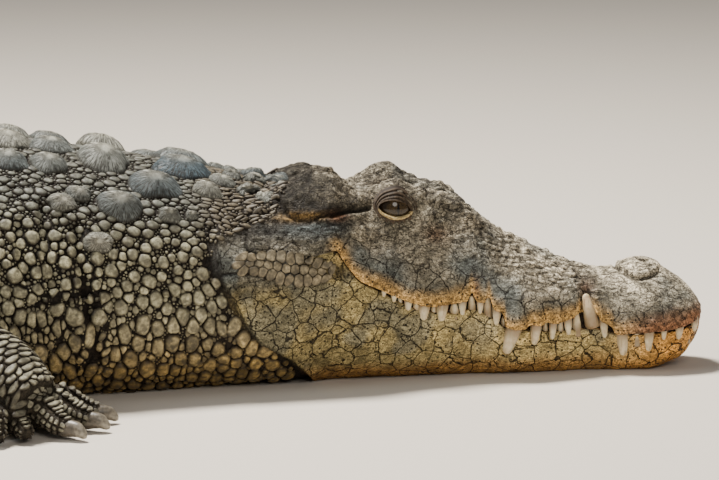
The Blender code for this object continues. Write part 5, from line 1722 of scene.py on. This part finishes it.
# ---- Scales of the legs and feet -------------------------------------------------------------
# Legs carry overlapping oblong scales in bands across the limb. Each toe carries one row of wide
# plates with small ones beside it, and the backs of hands and feet carry staggered plates.

LIMB_BROWN, LIMB_PALE = srgb(84, 80, 66), srgb(146, 142, 122)
# rows along the limb and width of a scale across it
LEG_BANDS = {"upper": (0.0102, 0.0210), "lower": (0.0070, 0.0175), "toe": (0.0062, 0.0080)}
HAND_PITCH, HAND_WIDTH = 0.0075, 0.0125
HAND, LEG, TOE, TOE_TOP = -1, 0, 1, 1.5  # kinds of seat; the later ones hold theirs
LOWEST_SEAT, HAND_LOWEST = 0.003, 0.012
seats = []
limb_uv = {name: 0.02 + 0.24 * k for k, name in enumerate(LEGS)}


def add_seat(hit, flow, long_r, wide_r, u, v, kind):
    seats.append((*hit[0], *hit[1], *flow, long_r, wide_r, u, v, kind))


for tube, (name, kind, path, sizes) in enumerate(limb_tubes):
    if kind == "web":
        continue
    rings, along, across, up = sweep(path, sizes)
    far = np.concatenate([[0], np.cumsum(np.linalg.norm(np.diff(path, axis=0), axis=1))])
    pitch, width = LEG_BANDS[kind]
    rows = max(2, int(far[-1] / pitch))
    for row in range(rows):
        d = (row + 0.5) * far[-1] / rows
        middle, flow, sideways, upward = (np.array([np.interp(d, far, v[:, c]) for c in range(3)])
                                          for v in (path, along, across, up))
        wide, tall = (np.interp(d, far, sizes[:, c]) for c in range(2))
        around = math.pi * (wide + tall)
        if kind == "toe":
            slots = [(90, wide * 1.0)]
            slots += [(90 + side * (68 + 32 * q), wide * 0.38) for side in (-1, 1) for q in range(3)]
        else:
            number = max(6, int(around / width))
            slots = [(360 * (m + 0.5 * (row % 2)) / number, around / number * 0.62) for m in range(number)]
        for degrees, half_wide in slots:
            turn = math.radians(degrees)
            out = sideways * math.cos(turn) * wide + upward * math.sin(turn) * tall
            far_out = np.linalg.norm(out)
            out = out / far_out
            over = 0.030 if kind == "lower" else 0.012
            start = Vector(middle + out * (far_out + over))
            hit = skin_tree.ray_cast(start, Vector(-out), over + 0.010)
            if hit[0] is None or hit[1].dot(Vector(out)) < 0.55:
                continue
            add_seat(hit, flow, far[-1] / rows * 0.60, half_wide, limb_uv[name] + 0.18 * d / far[-1],
                     0.64 + 0.34 * ((degrees % 360) / 360 + tube % 7) / 8,
                     LEG if kind != "toe" else TOE_TOP if degrees == 90 else TOE)
# backs of the hands and feet, where the toes run together
for name, (sign, _, _, wrist, knuckles, thick) in LEGS.items():
    start, end = (Vector(place(p[0], sign * p[1], p[2])) for p in (wrist, knuckles))
    level = Vector((end.x - start.x, end.y - start.y, 0))
    reach = level.length
    level.normalize()
    spread_out = Vector((level.y, -level.x, 0))
    for row in range(int((reach + 0.050) / HAND_PITCH)):
        for column in range(-5, 6):
            d, across = row * HAND_PITCH - 0.020, (column + 0.5 * (row % 2)) * HAND_WIDTH
            over = start + level * d + spread_out * across
            over.z = start.z + 0.060
            hit = skin_tree.ray_cast(over, Vector((0, 0, -1)), over.z)
            if hit[0] is None or hit[1].z < 0.15 or hit[0].z < HAND_LOWEST:
                continue
            add_seat(hit, level, HAND_PITCH * 0.62, HAND_WIDTH * 0.60, limb_uv[name] + 0.2 * row / 12,
                     0.98 + 0.001 * column, HAND)
    # the steep front of the hand over the roots of the toes
    middle = Vector((end.x, end.y, end.z * 0.8))
    for tilt in range(4, 80, 11):
        for fan in range(-98, 99, 14):
            a, b = math.radians(fan + 7 * (tilt // 11 % 2)), math.radians(tilt)
            ray = (level * math.cos(a) + spread_out * math.sin(a)) * math.cos(b)
            ray.z += math.sin(b)
            hit = skin_tree.ray_cast(middle + ray * 0.060, -ray, 0.055)
            if hit[0] is None or hit[1].dot(ray) < 0.3 or hit[0].z < HAND_LOWEST:
                continue
            add_seat(hit, (0, 0, -1), HAND_PITCH * 0.62, HAND_WIDTH * 0.60,
                     limb_uv[name] + 0.18 + 0.0001 * fan, 0.97 + 0.0002 * tilt, HAND)
points, n, flow, a, b, uv, kind = (v.squeeze() for v in
                                   np.split(np.array(seats), (3, 6, 9, 10, 11, 13), axis=1))
# leave out places that lie within the body, on the ground side, or on top of one another
away = signed_far(body_tree, points)
keep = (away > 0.0015) & (points[:, 2] > LOWEST_SEAT)
tree = point_tree(points)
for k in range(len(points)):
    if not keep[k]:
        continue
    for _, other, far_off in tree.find_range(points[k], HAND_PITCH):
        close = min(a[k], b[k]) if kind[other] >= 0 or kind[k] < 0 else HAND_PITCH
        if other > k and keep[other] and kind[other] < TOE_TOP and far_off < close:
            keep[other] = False
points, n, flow, a, b, uv, kind = (v[keep] for v in (points, n, flow, a, b, uv, kind))
# painted light: leg scales are paler where they face up; painted shade keeps those near the ground dark
pale = np.clip(0.5 + 0.8 * noise(points, 0.02, 15, 2) + 0.35 * n[:, 2], 0, 1)
colour = mix(LIMB_BROWN, LIMB_PALE, pale * (points[:, 2] > 0.01))
hind = np.array([p[0] for p in points]) < place(1.2, 0.0, 0.0)[0]
colour = mix(colour, mix(BACK_OLIVE, BELLY_CREAM, 0.3), 0.5 * hind)
blotch = smooth(noise(points, 0.04, 71, 2), 0.2, 0.5)
colour = mix(colour, FLANK_DARK, 0.5 * blotch)
scales("leg_scales", points, n, flow, a, b, 0.0014 + 0.0006 * (kind > TOE) + 0.05 * a, colour, uv,
       sides=10, gap=0.00045, tilt=0.45, fill=1.4, sunk=0.0012,
       rings=((1.0, None), (1.0, 0.3), (0.84, 0.85), (0.45, 1.0)))

# ---- Claws -----------------------------------------------------------------------------------
# Blunt horn claws on the three inner toes of each foot, a little arched and worn at the tip.

CLAW_LENGTH, CLAW_ROUND, CLAW_RINGS = 0.021, 16, 16
claw_share = np.linspace(0, 1, CLAW_RINGS)
claws = []
for foot, number, root, heading, half in claw_seats:
    path = [root - heading * 0.006, root + heading * CLAW_LENGTH * 0.55 + Vector((0, 0, -0.0012)),
            root + heading * CLAW_LENGTH + Vector((0, 0, -0.0080))]
    sizes = [(half * 0.64, half * 0.74), (half * 0.50, half * 0.58), (half * 0.18, half * 0.21)]
    path, sizes = curve_through(path, sizes, CLAW_RINGS)
    at_tip = np.clip((claw_share - 0.88) / 0.12, 0, 1)
    rounding = np.sqrt(np.clip(1 - at_tip ** 2, 0.05, 1))
    rings = sweep(path, sizes * rounding[:, None], CLAW_ROUND)[0].reshape(-1, 3)
    rings[:, 2] = np.maximum(rings[:, 2], HIDE_CLEAR)
    claw = new_piece(f"{foot}_nail_{number}", rings, tube_faces(CLAW_RINGS, CLAW_ROUND))
    vertex_values(claw, "share", np.repeat(claw_share, CLAW_ROUND))
    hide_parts(f"{foot}_claw_{number}")
    claws.append(claw)

# Claws: grey-brown horn, paler and scuffed towards the tip.
claw_paint = start_paint("claw_paint", 0.40)
soft = clouds(300.0, detail=5.0)
colour = blend(spread(stored("share"), 0.35, 1.0), (0.075, 0.062, 0.045, 1), (0.24, 0.215, 0.17, 1))
colour = blend(1.0, colour, spread(soft, 0.3, 0.7, 0.6, 1.35), "MULTIPLY")
put(surface_in["Base Color"], colour)
put(surface_in["Normal"], bump(soft, 0.4, 0.0005))
for piece in claws:
    piece.data.materials.append(claw_paint)

# ---- Paint of the scales and plates ----------------------------------------------------------
# The tint of the place, mottled and pitted, with painted shade that darkens the rim of each scale and plate
# and makes the gaps black. The plates have radial striae.

GAP_SHADE_BLACK, RIM_SHADE_BROWN = (0.012, 0.009, 0.006, 1), (0.022, 0.016, 0.011, 1)
PIT_BROWN = (0.05, 0.036, 0.024, 1)
STAIN_BROWN, PLATE_RIM_SHADE = (0.046, 0.040, 0.030, 1), (0.025, 0.018, 0.012, 1)
STRIA_BROWN = (0.025, 0.022, 0.018, 1)
scale_paint = start_paint("scale_paint", 0.50)
tint, rim = stored("tint", "Color"), stored("rim")
soft = clouds(110.0, detail=6.0, roughness=0.6)
grain = clouds(600.0, detail=3.0, roughness=0.6)
pits = polygons(420.0, feature="F1")
stain = clouds(150.0, detail=7.0, roughness=0.72)
colour = blend(1.0, tint, spread(soft, 0.30, 0.70, 0.50, 1.42), "MULTIPLY")
colour = blend(1.0, colour, spread(grain, 0.30, 0.70, 0.66, 1.34), "MULTIPLY")
colour = blend(spread(stain, 0.45, 0.57, 0.0, 0.66), colour, STAIN_BROWN)
# painted shade towards the rim of each scale
colour = blend(spread(rim, 0.64, 1.02, 0.0, 0.88), colour, RIM_SHADE_BROWN)
# painted shade: black below the skin, in the gaps
colour = blend(spread(rim, 1.05, 1.2), colour, GAP_SHADE_BLACK)
pitted = times(spread(pits, 0.12, 0.26, 0.6, 0.0), spread(soft, 0.46, 0.56))
colour = blend(pitted, colour, PIT_BROWN)
put(surface_in["Base Color"], colour)
put(surface_in["Roughness"], spread(soft, 0.3, 0.7, 0.42, 0.62))
height = plus(soft, times(grain, 0.45))
put(surface_in["Normal"], bump(height, 0.6, 0.0008))
surface_in["Specular IOR Level"].default_value = 0.22

plate_paint = start_paint("plate_paint", 0.48)
tint, rim, local = stored("tint", "Color"), stored("rim"), stored("local", "Color")
x, y, _ = split(local)
angle = maths("ARCTAN2", y, x)
spoke = paint_nodes.new("ShaderNodeCombineXYZ")
put(spoke.inputs[0], times(angle, 13.0))
put(spoke.inputs[1], times(rim, 2.0))
streak = clouds(1.6, spoke.outputs[0], detail=3.0, roughness=0.6)
soft = clouds(90.0, detail=6.0, roughness=0.65)
grain = clouds(520.0, detail=3.0, roughness=0.6)
line = times(spread(streak, 0.42, 0.53, 1.0, 0.0), spread(rim, 0.10, 0.35))
colour = blend(1.0, tint, spread(soft, 0.28, 0.72, 0.66, 1.32), "MULTIPLY")
colour = blend(times(line, 0.80), colour, STRIA_BROWN)
# painted shade towards the rim of each plate
colour = blend(spread(rim, 0.86, 1.02, 0.0, 0.85), colour, PLATE_RIM_SHADE)
# painted shade: black below the skin, in the gaps
colour = blend(spread(rim, 1.05, 1.2), colour, GAP_SHADE_BLACK)
put(surface_in["Base Color"], colour)
height = plus(times(line, -1.2), plus(soft, times(grain, 0.5)))
put(surface_in["Normal"], bump(height, 0.8, 0.0011))
surface_in["Specular IOR Level"].default_value = 0.22
for piece in coat_pieces:
    plated = piece.name.startswith(("nape_plates", "back_plates", "tail_crest"))
    piece.data.materials.append(plate_paint if plated else scale_paint)

# ---- Camera, floor and light -----------------------------------------------------------------
# A plain pale floor and three large soft lamps. The camera stands low on the animal's right and
# looks at the head from a little above it, and a little from behind.

VIEW_AZIMUTH, VIEW_ELEVATION, VIEW_DISTANCE = math.radians(-6), math.radians(10), 3.4
LENS = 156.27
AIM_BACK, AIM_HEIGHT = 0.3788, 0.1452
aim = Vector(place(AIM_BACK, 0.0, AIM_HEIGHT))
toward = Vector((math.sin(VIEW_AZIMUTH) * math.cos(VIEW_ELEVATION),
                 -math.cos(VIEW_AZIMUTH) * math.cos(VIEW_ELEVATION), math.sin(VIEW_ELEVATION)))
camera = add_object("camera", bpy.data.cameras.new("camera"))
camera.data.sensor_width = 36.0
camera.data.lens = LENS
camera.data.clip_end = 100.0
camera.location = aim + toward * VIEW_DISTANCE
camera.rotation_euler = (-toward).to_track_quat("-Z", "Y").to_euler()
bpy.context.scene.camera = camera

floor_mesh = bpy.data.meshes.new("floor")
floor_mesh.from_pydata([(-30, -30, 0), (30, -30, 0), (30, 30, 0), (-30, 30, 0)], [], [(0, 1, 2, 3)])
floor = add_object("floor", floor_mesh)
floor_paint = start_paint("floor_paint", 0.8)
surface_in["Base Color"].default_value = (0.60, 0.55, 0.48, 1)
floor.data.materials.append(floor_paint)


def lamp(name, at, power, size, colour, target):
    light = bpy.data.lights.new(name, "AREA")
    light.shape = "DISK"
    light.energy = power
    light.size = size
    light.color = colour
    piece = add_object(name, light)
    piece.location = at
    piece.rotation_euler = (Vector(at) - Vector(target)).to_track_quat("Z", "Y").to_euler()


lamp("key_lamp", (0.2, 0.7, 3.4), 410, 0.8, (1.0, 0.95, 0.87), aim)
lamp("front_lamp", (1.6, -3.2, 2.0), 50, 1.8, (1.0, 0.94, 0.86), aim)
lamp("tail_lamp", (-2.8, -1.5, 2.6), 70, 2.0, (0.92, 0.96, 1.0), (-0.8, 0.2, 0.1))
world = bpy.data.worlds.new("studio")
bpy.context.scene.world = world
world.use_nodes = True
world.node_tree.nodes["Background"].inputs["Color"].default_value = (0.90, 0.92, 0.95, 1)
world.node_tree.nodes["Background"].inputs["Strength"].default_value = 0.17
